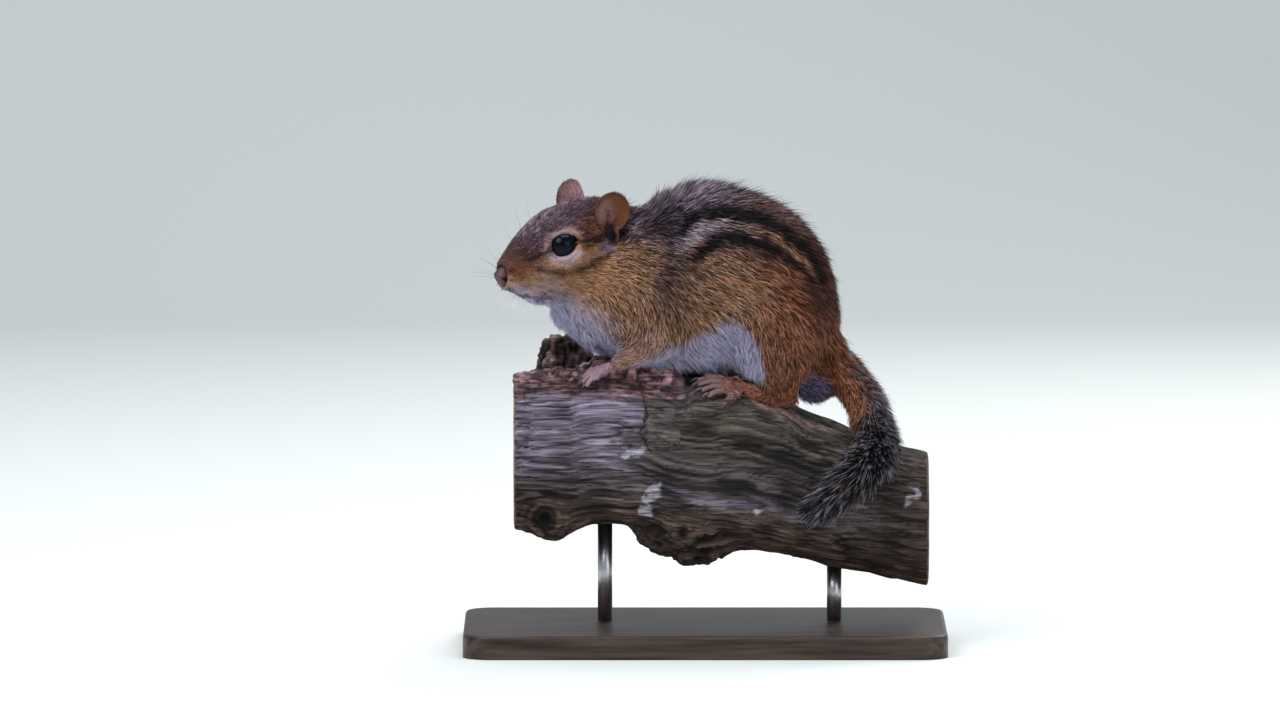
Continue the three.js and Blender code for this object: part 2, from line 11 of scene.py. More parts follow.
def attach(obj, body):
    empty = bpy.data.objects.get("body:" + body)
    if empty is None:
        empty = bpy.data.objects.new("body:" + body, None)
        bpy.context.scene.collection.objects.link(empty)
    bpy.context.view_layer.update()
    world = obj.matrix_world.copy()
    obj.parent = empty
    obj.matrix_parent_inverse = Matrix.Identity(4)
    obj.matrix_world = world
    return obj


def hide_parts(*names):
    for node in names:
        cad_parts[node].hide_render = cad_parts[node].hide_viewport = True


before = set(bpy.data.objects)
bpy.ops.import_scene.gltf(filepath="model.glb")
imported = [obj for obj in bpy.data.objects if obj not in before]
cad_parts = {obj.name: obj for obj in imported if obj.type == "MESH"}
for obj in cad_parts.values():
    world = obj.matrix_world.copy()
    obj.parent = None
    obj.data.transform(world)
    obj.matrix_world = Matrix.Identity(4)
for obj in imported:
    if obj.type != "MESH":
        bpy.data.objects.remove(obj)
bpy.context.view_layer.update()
MM = 0.001


# The camera stands level with the animal's back and a little above, far off, so that the picture is nearly
# flat.
PIXEL = 0.34  # mm of the animal across one pixel of the 1280 x 720 picture
PICTURE = (1280, 720)
MIDPLANE_PIXEL = 705  # the pixel column of x = 0
FLOOR_PIXEL = 645.5  # the pixel row of the base's underside
ELEVATION = radians(5)
LENS = 400
FILM_WIDTH = 36
FARTHEST = 20

camera_data = bpy.data.cameras.new("photo_camera")
camera_data.lens = LENS
camera_data.sensor_width = FILM_WIDTH
camera_data.clip_end = FARTHEST
distance = PICTURE[0] * PIXEL * MM * LENS / FILM_WIDTH
aim = Vector((
    (PICTURE[0] / 2 - MIDPLANE_PIXEL) * PIXEL * MM,
    0,
    (FLOOR_PIXEL - PICTURE[1] / 2) * PIXEL * MM / cos(ELEVATION),
))
camera = bpy.data.objects.new("photo_camera", camera_data)
bpy.context.collection.objects.link(camera)
camera.location = aim + distance * Vector((0, -cos(ELEVATION), sin(ELEVATION)))
camera.rotation_euler = (pi / 2 - ELEVATION, 0, 0)
bpy.context.scene.camera = camera


# The floor is a pale sheet that bends up behind the animal without an edge.
FLOOR_DEPTH = 1.3
FLOOR_BEND = 0.5  # radius of the bend
FLOOR_TURN = radians(50)
FLOOR_STEPS = 16
FLOOR_HALF_WIDTH = 2.2
FLOOR_COLOUR = (0.8, 0.81, 0.78)


def new_piece(name, bm, material, smooth=True):
    """Makes a finished object out of a bmesh, in metres."""
    mesh = bpy.data.meshes.new(name)
    bm.to_mesh(mesh)
    bm.free()
    piece = bpy.data.objects.new(name, mesh)
    bpy.context.collection.objects.link(piece)
    if material:
        mesh.materials.append(material)
    if smooth:
        mesh.shade_smooth()
    return piece


def plain_material(name, colour, roughness=0.5, metallic=0.0, specular=0.5):
    """A material with its own shader, whose colour and bump are added afterwards."""
    material = bpy.data.materials.new(name)
    material.use_nodes = True
    shader = material.node_tree.nodes["Principled BSDF"]
    shader.inputs["Base Color"].default_value = (*colour, 1)
    shader.inputs["Roughness"].default_value = roughness
    shader.inputs["Metallic"].default_value = metallic
    shader.inputs["Specular IOR Level"].default_value = specular
    return material


bm = bmesh.new()
edge = [bm.verts.new((x, -FLOOR_DEPTH, 0)) for x in (-FLOOR_HALF_WIDTH, FLOOR_HALF_WIDTH)]
front = bm.edges.new(edge)
run = bmesh.ops.extrude_edge_only(bm, edges=[front])
moved = [g for g in run["geom"] if isinstance(g, bmesh.types.BMVert)]
bmesh.ops.translate(bm, vec=(0, 2 * FLOOR_DEPTH, 0), verts=moved)
bmesh.ops.spin(
    bm,
    geom=[g for g in run["geom"] if isinstance(g, bmesh.types.BMEdge)] + moved,
    cent=(0, FLOOR_DEPTH, FLOOR_BEND),
    axis=(1, 0, 0),
    angle=FLOOR_TURN,
    steps=FLOOR_STEPS,
)
bmesh.ops.recalc_face_normals(bm, faces=bm.faces)
floor = new_piece("floor", bm, plain_material("floor_paper", FLOOR_COLOUR, roughness=0.9))


# Soft studio light: a big panel above and to the animal's front, a weaker one behind, one low at the
# camera's right, and pale surroundings.
LIGHTS = {
    "key": {"at": (-0.7, -0.9, 1.1), "size": 0.9, "power": 13, "colour": (1, 0.99, 0.98)},
    "overhead": {"at": (0.1, 0.1, 1.2), "size": 1.0, "power": 10, "colour": (0.9, 0.95, 1)},
    "fill": {"at": (0.9, -0.9, 0.45), "size": 0.9, "power": 3.8, "colour": (0.95, 0.97, 1)},
    "rim": {"at": (0.5, 0.9, 0.8), "size": 0.7, "power": 5.5, "colour": (1, 1, 0.95)},
}
LIT_PLACE = Vector((-0.01, 0, 0.1))
SURROUNDINGS = (0.78, 0.88, 1, 1)
SURROUNDINGS_STRENGTH = 0.42

for name, light in LIGHTS.items():
    data = bpy.data.lights.new(name, "AREA")
    data.size = light["size"]
    data.energy = light["power"]
    data.color = light["colour"]
    lamp = bpy.data.objects.new(name, data)
    bpy.context.collection.objects.link(lamp)
    lamp.location = light["at"]
    towards = LIT_PLACE - lamp.location
    lamp.rotation_euler = towards.to_track_quat("-Z", "Y").to_euler()
world = bpy.data.worlds.new("studio")
world.use_nodes = True
background = world.node_tree.nodes["Background"]
background.inputs["Color"].default_value = SURROUNDINGS
background.inputs["Strength"].default_value = SURROUNDINGS_STRENGTH
bpy.context.scene.world = world
bpy.context.scene.view_settings.view_transform = "Standard"


# The skin is one closed surface over the head, trunk, limbs and tail. It starts from the solids of the
# flesh, whose facets are smoothed away, and is drawn in by the depth of the coat.
HEAD_AT = Vector((-38.2, -5, 133)) * MM
HEAD_TURN = radians(34)
HEAD_ROLL = radians(8)
HEAD = Matrix.Translation(HEAD_AT) @ Matrix.Rotation(pi + HEAD_TURN, 4, "Z")
HEAD = HEAD @ Matrix.Rotation(-HEAD_ROLL, 4, "X")
SIDES = {"left": 1, "right": -1}
BODY_NODES = ["head", "lower_jaw", "neck", "chest", "rump"]
BODY_NODES += [f"{part}_{side}" for part in ("thigh", "foreleg") for side in SIDES]
BODY_NODES += ["tail_base"]
BODY_GRAIN = 0.8 * MM  # size of the first, smooth mesh
SKIN_GRAIN = 0.36 * MM  # size of the last one, which has the toes and the lids
SWELL = 0.25 * MM  # closes the thin cuts between the solids
FLESH_PULL = 0.55  # how far each round of smoothing takes a point
FLESH_ROUNDS = 36
FACE_KEPT = 0.82  # how much less of it the face gets
SKIN_FACES = 180000


def node_mesh(name):
    """A merged copy of one CAD node in a bmesh."""
    bm = bmesh.new()
    bm.from_mesh(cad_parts[name].data)
    bmesh.ops.remove_doubles(bm, verts=bm.verts, dist=1e-6)
    return bm


def swollen(bm, amount):
    bm.normal_update()
    for vert in bm.verts:
        vert.co += vert.normal * amount
    return bm


def joined(parts):
    """One bmesh out of several, which are freed."""
    whole = bmesh.new()
    carrier = bpy.data.meshes.new("carrier")
    for part in parts:
        part.to_mesh(carrier)
        part.free()
        whole.from_mesh(carrier)
    bpy.data.meshes.remove(carrier)
    return whole


def evaluated(piece):
    """A piece with its modifiers carried out."""
    return piece.evaluated_get(bpy.context.evaluated_depsgraph_get())


def remeshed(bm, grain, keep=None):
    """The outside of overlapping closed shapes as one even mesh, thinned to about `keep` faces if given."""
    piece = new_piece("work", bm, None)
    remesh = piece.modifiers.new("remesh", "REMESH")
    remesh.mode = "VOXEL"
    remesh.voxel_size = grain
    if keep:
        thin = piece.modifiers.new("thin", "DECIMATE")
        faces = len(evaluated(piece).data.polygons) * 2
        thin.ratio = 1 if faces < keep else keep / faces
    mesh = bpy.data.meshes.new_from_object(evaluated(piece))
    bpy.data.objects.remove(piece)
    out = bmesh.new()
    out.from_mesh(mesh)
    bpy.data.meshes.remove(mesh)
    return out


def positions(bm):
    return np.array([vert.co for vert in bm.verts])


def normals(bm):
    bm.normal_update()
    return np.array([vert.normal for vert in bm.verts])


def place(bm, points):
    for vert, point in zip(bm.verts, points):
        vert.co = point


def relax(bm, share, rounds):
    """Smooths a mesh. `share` is how far each point goes to its neighbours' middle in one round."""
    bm.verts.index_update()
    pairs = np.array([[v.index for v in e.verts] for e in bm.edges])
    points = positions(bm)
    count = np.bincount(pairs.ravel(), minlength=len(points))[:, None]
    for _ in range(rounds):
        total = np.zeros_like(points)
        for axis in range(3):
            total[:, axis] += np.bincount(pairs[:, 0], points[pairs[:, 1], axis], len(points))
            total[:, axis] += np.bincount(pairs[:, 1], points[pairs[:, 0], axis], len(points))
        points += (total / count - points) * share[:, None]
    place(bm, points)


def smooth_step(x, low, high):
    t = np.clip((x - low) / (high - low), 0, 1)
    return t * t * (3 - 2 * t)


def noise(points, size, seed=0):
    """Smooth wandering numbers from -1 to 1 at points in mm, about `size` mm from crest to crest. The large
    whole numbers scramble each corner's place into a number of its own."""
    scaled = points / size
    base = np.floor(scaled).astype(np.int64)
    rest = scaled - base
    rest = rest * rest * (3 - 2 * rest)
    total = np.zeros(len(points))
    for corner in itertools.product((0, 1), repeat=3):
        cell = base + np.array(corner)
        hashed = cell[:, 0] * 73856093 ^ cell[:, 1] * 19349663 ^ cell[:, 2] * 83492791
        hashed = hashed ^ (seed + 1) * 265443576
        hashed = (hashed ^ (hashed >> 13)) * 1274126177 & 0xFFFFFFFF
        hashed = hashed ^ (hashed >> 16)
        weight = np.prod(np.where(corner, rest, 1 - rest), axis=1)
        total += ((hashed & 0xFFFF) / 32767.5 - 1) * weight
    return total


HEAD_TURNED = np.array(HEAD.to_3x3())
HEAD_MIDDLE = np.array(HEAD_AT) / MM


def to_head(points):
    """Points in mm in the head's own frame: forward, to its left, up."""
    return (points - HEAD_MIDDLE) @ HEAD_TURNED


def from_head(points):
    return points @ HEAD_TURNED.T + HEAD_MIDDLE


# The coat, as a skinner would chart it: where, which way the hair lies, its length in mm, how far it stands
# up in degrees, and how deep under the coat's outside the skin is, in mm. The head's rows are in the head's
# frame.
HEAD_COAT = [
    (35, 0, 2, -1, 0, 0.4, 1.3, 12, 0.35),
    (31, 5.5, -3, -1, 0.3, 0, 1.6, 14, 0.4),
    (31, 4.5, -10, -1, 0.1, -0.3, 1.5, 14, 0.1),
    (24, 0, 13, -1, 0, 0.3, 2.4, 17, 0.6),
    (21, 8, 13, -1, 0.2, 0.2, 2.0, 13, 0.5),
    (20, 10.5, 1, -1, 0.25, -0.1, 2.0, 13, 0.5),
    (8, 14, -5, -1, 0, -0.35, 3.2, 16, 1.0),
    (16, 9, -12, -1, 0, -0.4, 2.6, 16, 0.8),
    (7, 0, 20, -1, 0, 0, 3.0, 22, 0.8),
    (9, 12, 10, -1, 0.1, 0.2, 2.2, 14, 0.6),
    (-7, 14, 4, -1, 0, -0.3, 3.6, 18, 1.2),
    (-13, 0, 18, -1, 0, -0.1, 4.6, 30, 1.6),
    (30, 0, -13, -1, 0, -0.4, 1.8, 16, 0.05),
    (24, 0, -15, -1, 0, -0.5, 2.8, 28, 0.05),
    (10, 0, -17, -1, 0, -0.6, 4.5, 24, 1.4),
    (19, 0, -15.5, -1, 0, -0.6, 3.6, 30, 1.0),
]
BODY_COAT = [
    (-21, 0, 149, 1, 0, 0.3, 6.2, 34, 2.0),
    (-6, 0, 157, 1, 0, 0, 6.2, 26, 2.2),
    (14, 0, 156, 1, 0, -0.3, 6.2, 22, 2.2),
    (35, 0, 142, 0.6, 0, -0.8, 6.2, 22, 2.2),
    (45, 0, 118, 0.2, 0, -1, 6.0, 22, 2.2),
    (-21, -19, 136, 0.9, 0, -0.4, 4.8, 18, 1.8),
    (-7, -22, 140, 0.9, 0, -0.35, 5.4, 18, 2.0),
    (-6, -23, 122, 0.85, 0, -0.5, 5.4, 17, 2.0),
    (10, -24, 128, 0.85, 0, -0.5, 5.4, 17, 2.0),
    (4, -22, 106, 0.7, 0, -0.7, 5.4, 18, 2.0),
    (0, -8, 94.5, 1, 0, -0.1, 6.2, 48, 1.8),
    (-14, -9, 96.5, 1, 0, -0.1, 6.4, 50, 1.8),
    (-24, -8, 98.5, 1, 0, -0.1, 5.4, 40, 1.8),
    (13, -13, 96, 0.7, 0, -0.7, 6.4, 42, 1.8),
    (-36, -14, 116, 0.55, 0, -0.85, 5.0, 18, 1.8),
    (-44, -3, 106, 0.6, 0, -0.8, 6.0, 28, 2.0),
    (-52, -5, 113, 0.5, 0, -0.9, 4.5, 24, 1.4),
    (-15, -21, 112, 0.15, 0, -1, 3.8, 14, 1.3),
    (-15, -20, 102, -0.5, 0, -0.8, 3.6, 18, 1.0),
    (-26, -16, 99, -0.9, 0, -0.35, 3.1, 20, 0.8),
    (-33, -13, 97, -1, 0, -0.4, 1.3, 12, 0.25),
    (-38, -13, 95, -1, 0, -0.3, 0.8, 12, 0.06),
    (28, -20, 126, 0.75, 0, -0.65, 5.4, 17, 2.0),
    (25, -28, 110, 0.5, 0, -0.85, 4.8, 15, 1.6),
    (13, -26, 104, 0.2, 0, -1, 4.8, 16, 1.6),
    (36, -22, 104, 0.45, 0, -0.9, 5.0, 17, 1.8),
    (24, -25, 93, 0.15, 0, -1, 3.2, 14, 1.1),
    (28, -18, 86, -0.6, 0, -0.5, 2.6, 18, 0.7),
    (15, -17, 89, -1, 0, 0.2, 2.0, 16, 0.3),
    (3, -17, 92, -1, 0, 0.1, 0.8, 12, 0.06),
    (38, -1.5, 87, 1, 0, -0.3, 3.4, 26, 0.8),
    (46, 0, 97, 0.6, 0, -0.8, 5.4, 18, 1.4),
    (53, -5, 86, 0.5, -0.35, -0.8, 5.8, 20, 1.4),
]


def coat_chart():
    """Both lists as one, with a mirrored row for the other side of the head and of the body."""
    rows = []
    for row in HEAD_COAT:
        for side in (1, -1):
            at = from_head(np.array([[row[0], row[1] * side, row[2]]]))[0]
            lie = HEAD_TURNED @ np.array([row[3], row[4] * side, row[5]])
            rows.append([*at, *lie, *row[6:]])
    for row in BODY_COAT:
        for side in (1, -1):
            rows.append([row[0], row[1] * side, row[2], row[3], row[4] * side, *row[5:]])
    chart = np.array(rows, float)
    chart[:, 3:6] /= np.linalg.norm(chart[:, 3:6], axis=1)[:, None]
    return chart


CHART = coat_chart()
CHART_BATCH = 20000  # points read at a time
CHART_BLUR = 4
CHART_FADE = 2.5


def coat_at(points):
    """Reads the chart at points in mm: direction of the lie, length, lift in degrees and depth."""
    found = np.empty((len(points), 6))
    for start in range(0, len(points), CHART_BATCH):
        some = points[start : start + CHART_BATCH]
        away = ((some[:, None, :] - CHART[None, :, :3]) ** 2).sum(2) + CHART_BLUR
        weight = away**-CHART_FADE
        weight /= weight.sum(1)[:, None]
        found[start : start + CHART_BATCH] = weight @ CHART[:, 3:]
    return found[:, :3], found[:, 3], found[:, 4], found[:, 5]


# Feet and toes: tapered tubes from joint to joint over flat palms, with a pad under each tip. They are fused
# into the skin below.
FORE_STANCE = 13
HIND_STANCE = 16.5
RIGHT_REACH = -2.5  # mm that the right forepaw is ahead of the left
FINGER_THICK = 0.92


def swept(bm, stations, sides=12):
    """A closed tube through stations of (x, y, z, radius), in mm."""
    points = [Vector(s[:3]) * MM for s in stations]
    last = len(points) - 1
    before = None
    for k, (point, station) in enumerate(zip(points, stations)):
        ahead = points[min(k + 1, last)] - points[max(k - 1, 0)]
        turned = Matrix.Translation(point) @ ahead.to_track_quat("Z", "Y").to_matrix().to_4x4()
        ring = bmesh.ops.create_circle(
            bm, cap_ends=k in (0, last), segments=sides, radius=station[3] * MM, matrix=turned
        )
        edges = list({edge for vert in ring["verts"] for edge in vert.link_edges})
        if before:
            bmesh.ops.bridge_loops(bm, edges=before + edges)
        before = edges
    bmesh.ops.recalc_face_normals(bm, faces=bm.faces)
    return bm


def ball(bm, at, radii, turn=0):
    """An ellipsoid in mm, tipped by `turn` degrees about the body's own side axis."""
    shape = Matrix.Translation(Vector(at) * MM) @ Matrix.Rotation(radians(turn), 4, "Y")
    shape = shape @ Matrix.Diagonal((*[r * MM for r in radii], 1))
    bmesh.ops.create_uvsphere(bm, u_segments=20, v_segments=12, radius=1, matrix=shape)
    return bm


def toe(root, tip, radius, arch=1.0):
    """A toe with two joints and a pad."""
    a, b = np.array(root), np.array(tip)
    up = np.array([0, 0, radius * arch])
    tube = swept(bmesh.new(), [
        (*a, radius * 0.9),
        (*(a * 0.7 + b * 0.3 + up * 0.5), radius * 0.92),
        (*(a * 0.45 + b * 0.55 + up), radius * 0.98),
        (*(a * 0.2 + b * 0.8 + up * 0.5), radius * 0.8),
        (*b, radius * 0.86),
        (*(b + (b - a) * 0.08), radius * 0.5),
    ])
    return ball(tube, b - np.array([0, 0, radius * 0.35]), (radius, radius * 0.85, radius * 0.6))


def forepaw(side):
    """Palm, four fingers and the toes' (root, tip) pairs."""
    reach, y = (0 if side > 0 else RIGHT_REACH), -FORE_STANCE * side
    palm = ball(bmesh.new(), (-34.6 + reach, y, 95), (4.6, 2.9, 1.9), -26)
    ball(palm, (-36.8 + reach, y, 92.9), (1.6, 2.3, 1))
    lines = []
    for p in (-1.5, -0.5, 0.5, 1.5):
        root = (-36.2 + reach, y - p * 1.6 * side, 93.8 - 0.5 * p)
        tip = (-41.6 + reach + abs(p), y - p * 2.7 * side, 92.3 - 1.1 * p)
        lines.append((root, tip))
    return [palm] + [toe(*line, FINGER_THICK) for line in lines], lines


# Each hind toe's root and tip, from the inner one to the low outer one: x, mm out from the midplane, z.
HIND_TOES = [
    ((7, 13.8, 92.2), (-1.8, 12.4, 91.8)),
    ((6.6, 15.9, 91.2), (-1.5, 15.3, 90.7)),
    ((6.8, 18, 90), (-0.4, 18.2, 89.1)),
    ((7.6, 19.9, 88.8), (1.8, 20.8, 87.7)),
    ((12, 19.8, 88), (8, 22.6, 85.2)),
]
HIND_TOE_THICK = 1.12


def hind_foot(side):
    """Instep, four toes fanned out down its outer side, each on a long bone, and a low one behind them."""
    y = -HIND_STANCE * side
    instep = swept(bmesh.new(), [
        (31, y - 0.8 * side, 86.6, 1.6), (29, y - 0.8 * side, 86.2, 2.6), (25, y - 0.8 * side, 86, 3),
        (18, y - 0.6 * side, 87.4, 2.7), (13, y - 0.5 * side, 88.8, 2.3), (9, y - 0.4 * side, 90, 1.4),
    ])
    lines = [tuple((x, -out * side, z) for x, out, z in line) for line in HIND_TOES]
    bones = []
    for root, tip in lines[:4]:
        middle = (11, (y + root[1]) / 2, (88.6 + root[2]) / 2, 1.6)
        bones.append(swept(bmesh.new(), [(15, y, 88.3, 1.7), middle, (*root, 1.2)]))
    return [instep] + bones + [toe(*line, HIND_TOE_THICK, arch=0.5) for line in lines], lines


feet = []
toe_lines = {}
for name, side in SIDES.items():
    for kind, make in (("forepaw", forepaw), ("hind_foot", hind_foot)):
        parts, toe_lines[f"{kind}_{name}"] = make(side)
        feet += parts


# The tail's core is a tapered rod of flesh along one path, which also carries the brush further on.
TAIL = [
    (36, 0, 104, 6.0), (46.4, -1, 94, 5.2), (53.2, -6, 85, 4.2), (56.6, -14, 76.8, 3.3),
    (57.6, -24, 70.2, 3.0), (54.2, -32.4, 65, 2.8), (48, -36.2, 59, 2.5), (43, -36.8, 54.6, 2.0),
    (39.4, -36.8, 51.6, 0.5),
]
CURVE_STEPS = 40  # between two of its points


def curve_through(points, count):
    """Even points along a smooth curve through a few, by Catmull and Rom's rule."""
    p = np.array(points, float)
    p = np.vstack([2 * p[0] - p[1], p, 2 * p[-1] - p[-2]])
    fine = []
    for k in range(1, len(p) - 2):
        for t in np.linspace(0, 1, CURVE_STEPS, endpoint=False):
            a, b, c, d = p[k - 1 : k + 3]
            bend, twist = 2 * a - 5 * b + 4 * c - d, 3 * b - a - 3 * c + d
            fine.append(0.5 * (2 * b + (c - a) * t + bend * t**2 + twist * t**3))
    fine = np.array(fine + [p[-2]])
    along = np.r_[0, np.cumsum(np.linalg.norm(np.diff(fine[:, :3], axis=0), axis=1))]
    wanted = np.linspace(0, along[-1], count)
    return np.stack([np.interp(wanted, along, fine[:, axis]) for axis in range(fine.shape[1])], axis=1)


tail_line = curve_through(TAIL, 60)
tail_core = swept(bmesh.new(), tail_line[::3], sides=16)


# The eyes sit deep, turned out and a little forward and up. The skin folds over each into an upper and a
# lower lid.
EYE_AT = np.array([17.7, 7.1, 6.4])
EYE_RADIUS = 4.9
EYE_LOOK = np.array([0.42, 0.88, 0.2]) / np.linalg.norm([0.42, 0.88, 0.2])
EYE_SLIT = np.array([1, 0, -0.36])  # towards the front corner of the lids
LID_HALF = (5.1, 4.15)  # mm from the middle of the opening to its corners and to the lids
LID_CORNER = 0.16  # how much the corners are drawn out
# Rings round the eye: half their width, their distance from its middle and their thickness, in mm.
LID_FOLD = (LID_HALF[0] + 0.35, 5.35, 0.75)
LID_RIM = (LID_HALF[0] + 0.05, 4.66, 0.42)
EYE_REACH = 9  # mm from the eye's middle where it shapes the skin


def eye_axes(side):
    """The eye's middle in mm in the row's frame, and its look, forward and up directions."""
    flip = np.array([1, side, 1])
    look = EYE_LOOK * flip
    ahead = EYE_SLIT - np.dot(EYE_SLIT, look) * look
    ahead /= np.linalg.norm(ahead)
    up = np.cross(look, ahead) * (1 if side < 0 else -1)
    return from_head((EYE_AT * flip)[None])[0], HEAD_TURNED @ look, HEAD_TURNED @ ahead, HEAD_TURNED @ up


def around_eye(side, radius, hug, thick, steps=44, sides=10):
    """A closed ring that follows the lids, with its middle line `hug` mm from the eye's middle."""
    middle, look, ahead, up = eye_axes(side)
    bm = bmesh.new()
    across = Matrix.Translation((radius * MM, 0, 0)) @ Matrix.Rotation(pi / 2, 4, "X")
    ring = bmesh.ops.create_circle(bm, segments=sides, radius=thick * MM, matrix=across)
    rim = list({edge for vert in ring["verts"] for edge in vert.link_edges})
    bmesh.ops.spin(bm, geom=ring["verts"] + rim, axis=(0, 0, 1), angle=2 * pi, steps=steps, use_merge=True)
    bmesh.ops.remove_doubles(bm, verts=bm.verts, dist=1e-7)
    flat = LID_HALF[1] / LID_HALF[0]
    bmesh.ops.scale(bm, vec=(1, flat, 1), verts=bm.verts)
    for vert in bm.verts:
        angle = np.arctan2(vert.co.y / flat, vert.co.x)
        vert.co.x *= 1 + LID_CORNER * cos(angle) ** 6
        line = radius * np.hypot(cos(angle), sin(angle) * flat)
        vert.co.z += np.sqrt(max(hug**2 - line**2, 0.2)) * MM
    turned = Matrix((ahead, up, look)).transposed().to_4x4()
    bmesh.ops.transform(bm, matrix=Matrix.Translation(Vector(middle) * MM) @ turned, verts=bm.verts)
    bmesh.ops.recalc_face_normals(bm, faces=bm.faces)
    return bm


def by_the_eye(points, side, margin=0.0):
    """How points lie to an eye: how far from its middle, how far out along its look, and how far across the
    lids' opening, where 1 is its edge, which `margin` moves out."""
    middle, look, ahead, up = eye_axes(side)
    off = points - middle
    across = np.hypot(off @ ahead / (LID_HALF[0] + margin), off @ up / (LID_HALF[1] + margin))
    return np.linalg.norm(off, axis=1), off @ look, across


def socketed(points, side):
    """Draws the skin in behind the eye inside the lids' opening, and lays the lids on the eyeball."""
    reach, height, across = by_the_eye(points, side)
    open_part = (across < 1) & (height > 0) & (reach < EYE_REACH)
    goal = np.where(open_part, EYE_RADIUS * 0.86, np.maximum(reach, EYE_RADIUS * 1.04))
    near = (reach < EYE_REACH) & (height > -2)
    goal = np.where(near, goal, reach)
    goal = np.where(open_part, np.minimum(goal, reach), goal)
    middle = eye_axes(side)[0]
    return middle + (points - middle) * (goal / np.maximum(reach, 1e-6))[:, None]


# Smooth flesh: the nodes of the head, trunk and upper limbs, fused, smoothed and drawn in by the coat's
# depth.
flesh = joined([swollen(node_mesh(name), SWELL) for name in BODY_NODES])
flesh = remeshed(flesh, BODY_GRAIN)
points = positions(flesh) / MM
in_head = to_head(points)
face = smooth_step(in_head[:, 0], -6, 8) * smooth_step(np.linalg.norm(points - HEAD_MIDDLE, axis=1), 46, 40)
relax(flesh, FLESH_PULL * (1 - FACE_KEPT * face), FLESH_ROUNDS)
points, out = positions(flesh) / MM, normals(flesh)
place(flesh, (points - out * (coat_at(points)[3] + SWELL / MM)[:, None]) * MM)
relax(flesh, np.full(len(points), 0.4) * (1 - 0.7 * face), 3)

lids = [around_eye(side, *LID_FOLD) for side in SIDES.values()]
skin_bm = joined([flesh, tail_core] + feet + lids)
skin_bm = remeshed(skin_bm, SKIN_GRAIN, keep=SKIN_FACES)
relax(skin_bm, np.full(len(skin_bm.verts), 0.35), 2)
points = positions(skin_bm) / MM
for side in SIDES.values():
    points = socketed(points, side)
place(skin_bm, points * MM)


# The markings, as they lie on the coat. They are told in the picture's own pixels, seen from the animal's
# left, and each side of the head and of the body reads the same chart through a mirror.
def shader_value(value):
    """One of a colour's everyday 0 to 255 values, as a shader counts it."""
    share = value / 255
    return share / 12.92 if value < 10 else ((share + 0.055) / 1.055) ** 2.4


def paint(*values):
    return np.array([shader_value(value) for value in values])


CROWN = paint(95, 68, 74)
GREY_BACK = paint(144, 124, 130)
RED_BACK = paint(112, 78, 68)
RUST = paint(152, 94, 64)
THIGH = paint(164, 108, 80)
OCHRE = paint(182, 136, 104)
CHEEK = paint(222, 166, 124)
FOREARM = paint(220, 172, 148)
BUFF = paint(200, 166, 134)
WHITE = paint(228, 220, 246)
PALE_STRIPE = paint(208, 186, 186)
LID_PALE = paint(232, 208, 220)
BLACK_STRIPE = paint(20, 15, 17)
DARK_RUST = paint(72, 43, 31)
BRIDGE = paint(116, 76, 60)
NOSE_SIDE = paint(132, 72, 44)
SLATE = paint(128, 120, 142)
TEMPLE = paint(122, 76, 48)
EAR_BARE = paint(136, 116, 138)
NOSE_COLOUR = paint(98, 60, 64)
PAW = paint(208, 174, 186)
TOE_GREY = paint(172, 136, 132)
LIP = paint(196, 166, 172)
JAW_SHADE = paint(184, 164, 174)
DARK = 0  # mixed in, it only darkens

# Lines as (column, row, half width), and edges as (column, row), in pixels.
FOREARM_LINE = [(652, 342, 12), (632, 356, 12), (614, 367, 9), (598, 373, 8)]
UPPER_STRIPE = [
    (683, 232, 5), (690, 221, 7.5), (698, 216, 7.5), (705, 213, 6.8), (720, 211.5, 6.4), (735, 212, 6.4),
    (750, 215, 6.8), (765, 221, 6.8), (780, 227.5, 6.6), (795, 241, 6.6), (808, 251, 6), (817, 265, 5),
    (823, 283, 3),
]
PALE_LINE = [
    (683, 250, 3), (690, 240, 4.6), (698, 232, 4.2), (705, 228, 3.8), (720, 224, 3.2), (735, 224, 2.8),
    (750, 228, 2.4), (765, 234, 2.6), (780, 239.5, 2.8), (795, 254, 2.4), (808, 264, 2.2), (818, 277, 1.2),
]
LOWER_STRIPE = [
    (694, 262, 4), (704, 250, 7.5), (713, 244, 9), (722, 240, 8.6), (735, 237, 7.4), (750, 241, 7),
    (765, 246.5, 6.6), (780, 252, 6), (795, 264, 3.6), (808, 275, 2.6), (816, 286, 1.4),
]
BROW_LINE = [
    (544, 251, 1.8), (549, 242, 3), (556, 234.5, 3.4), (564, 231, 3.4), (572, 230.5, 3), (581, 234, 2),
]
EYE_STREAK = [
    (528, 261, 2), (538, 257, 2.6), (547, 254, 2.2), (578, 242, 2.6), (592, 241, 3.2), (601, 238, 3.6),
]
UNDER_EYE = [(548, 256, 2.4), (556, 259.5, 4.2), (565, 261, 5), (574, 257.5, 5), (579.5, 253, 3.2)]
CHEEK_STREAK = [
    (530, 268, 1.8), (546, 272, 3), (560, 274.5, 3.8), (574, 273.5, 4.2), (588, 268, 4.2), (600, 261, 3.4),
    (612, 255, 2),
]
CHEEK_GLOW = [(578, 262, 3), (592, 254, 4), (606, 248, 3.5)]
MOUTH_LINE = [(509, 290, 1), (521, 296.5, 2), (533, 298.5, 2.4), (545, 298.5, 2), (554, 298, 1)]
CROWN_EDGE = [(490, 286), (520, 272), (545, 258), (575, 236), (600, 244), (640, 240)]
WHITE_EDGE = [
    (480, 292), (510, 291), (530, 297), (548, 301), (562, 308), (580, 318), (600, 330), (620, 345),
    (640, 360), (652, 358), (672, 350), (694, 344), (716, 330), (735, 322), (746, 334), (756, 348),
    (766, 386),
]

EAR_OPENING = ((613, 236), (6, 9))
EAR_NOTCH = ((609, 247), (6.5, 5))  # the bare patch below it


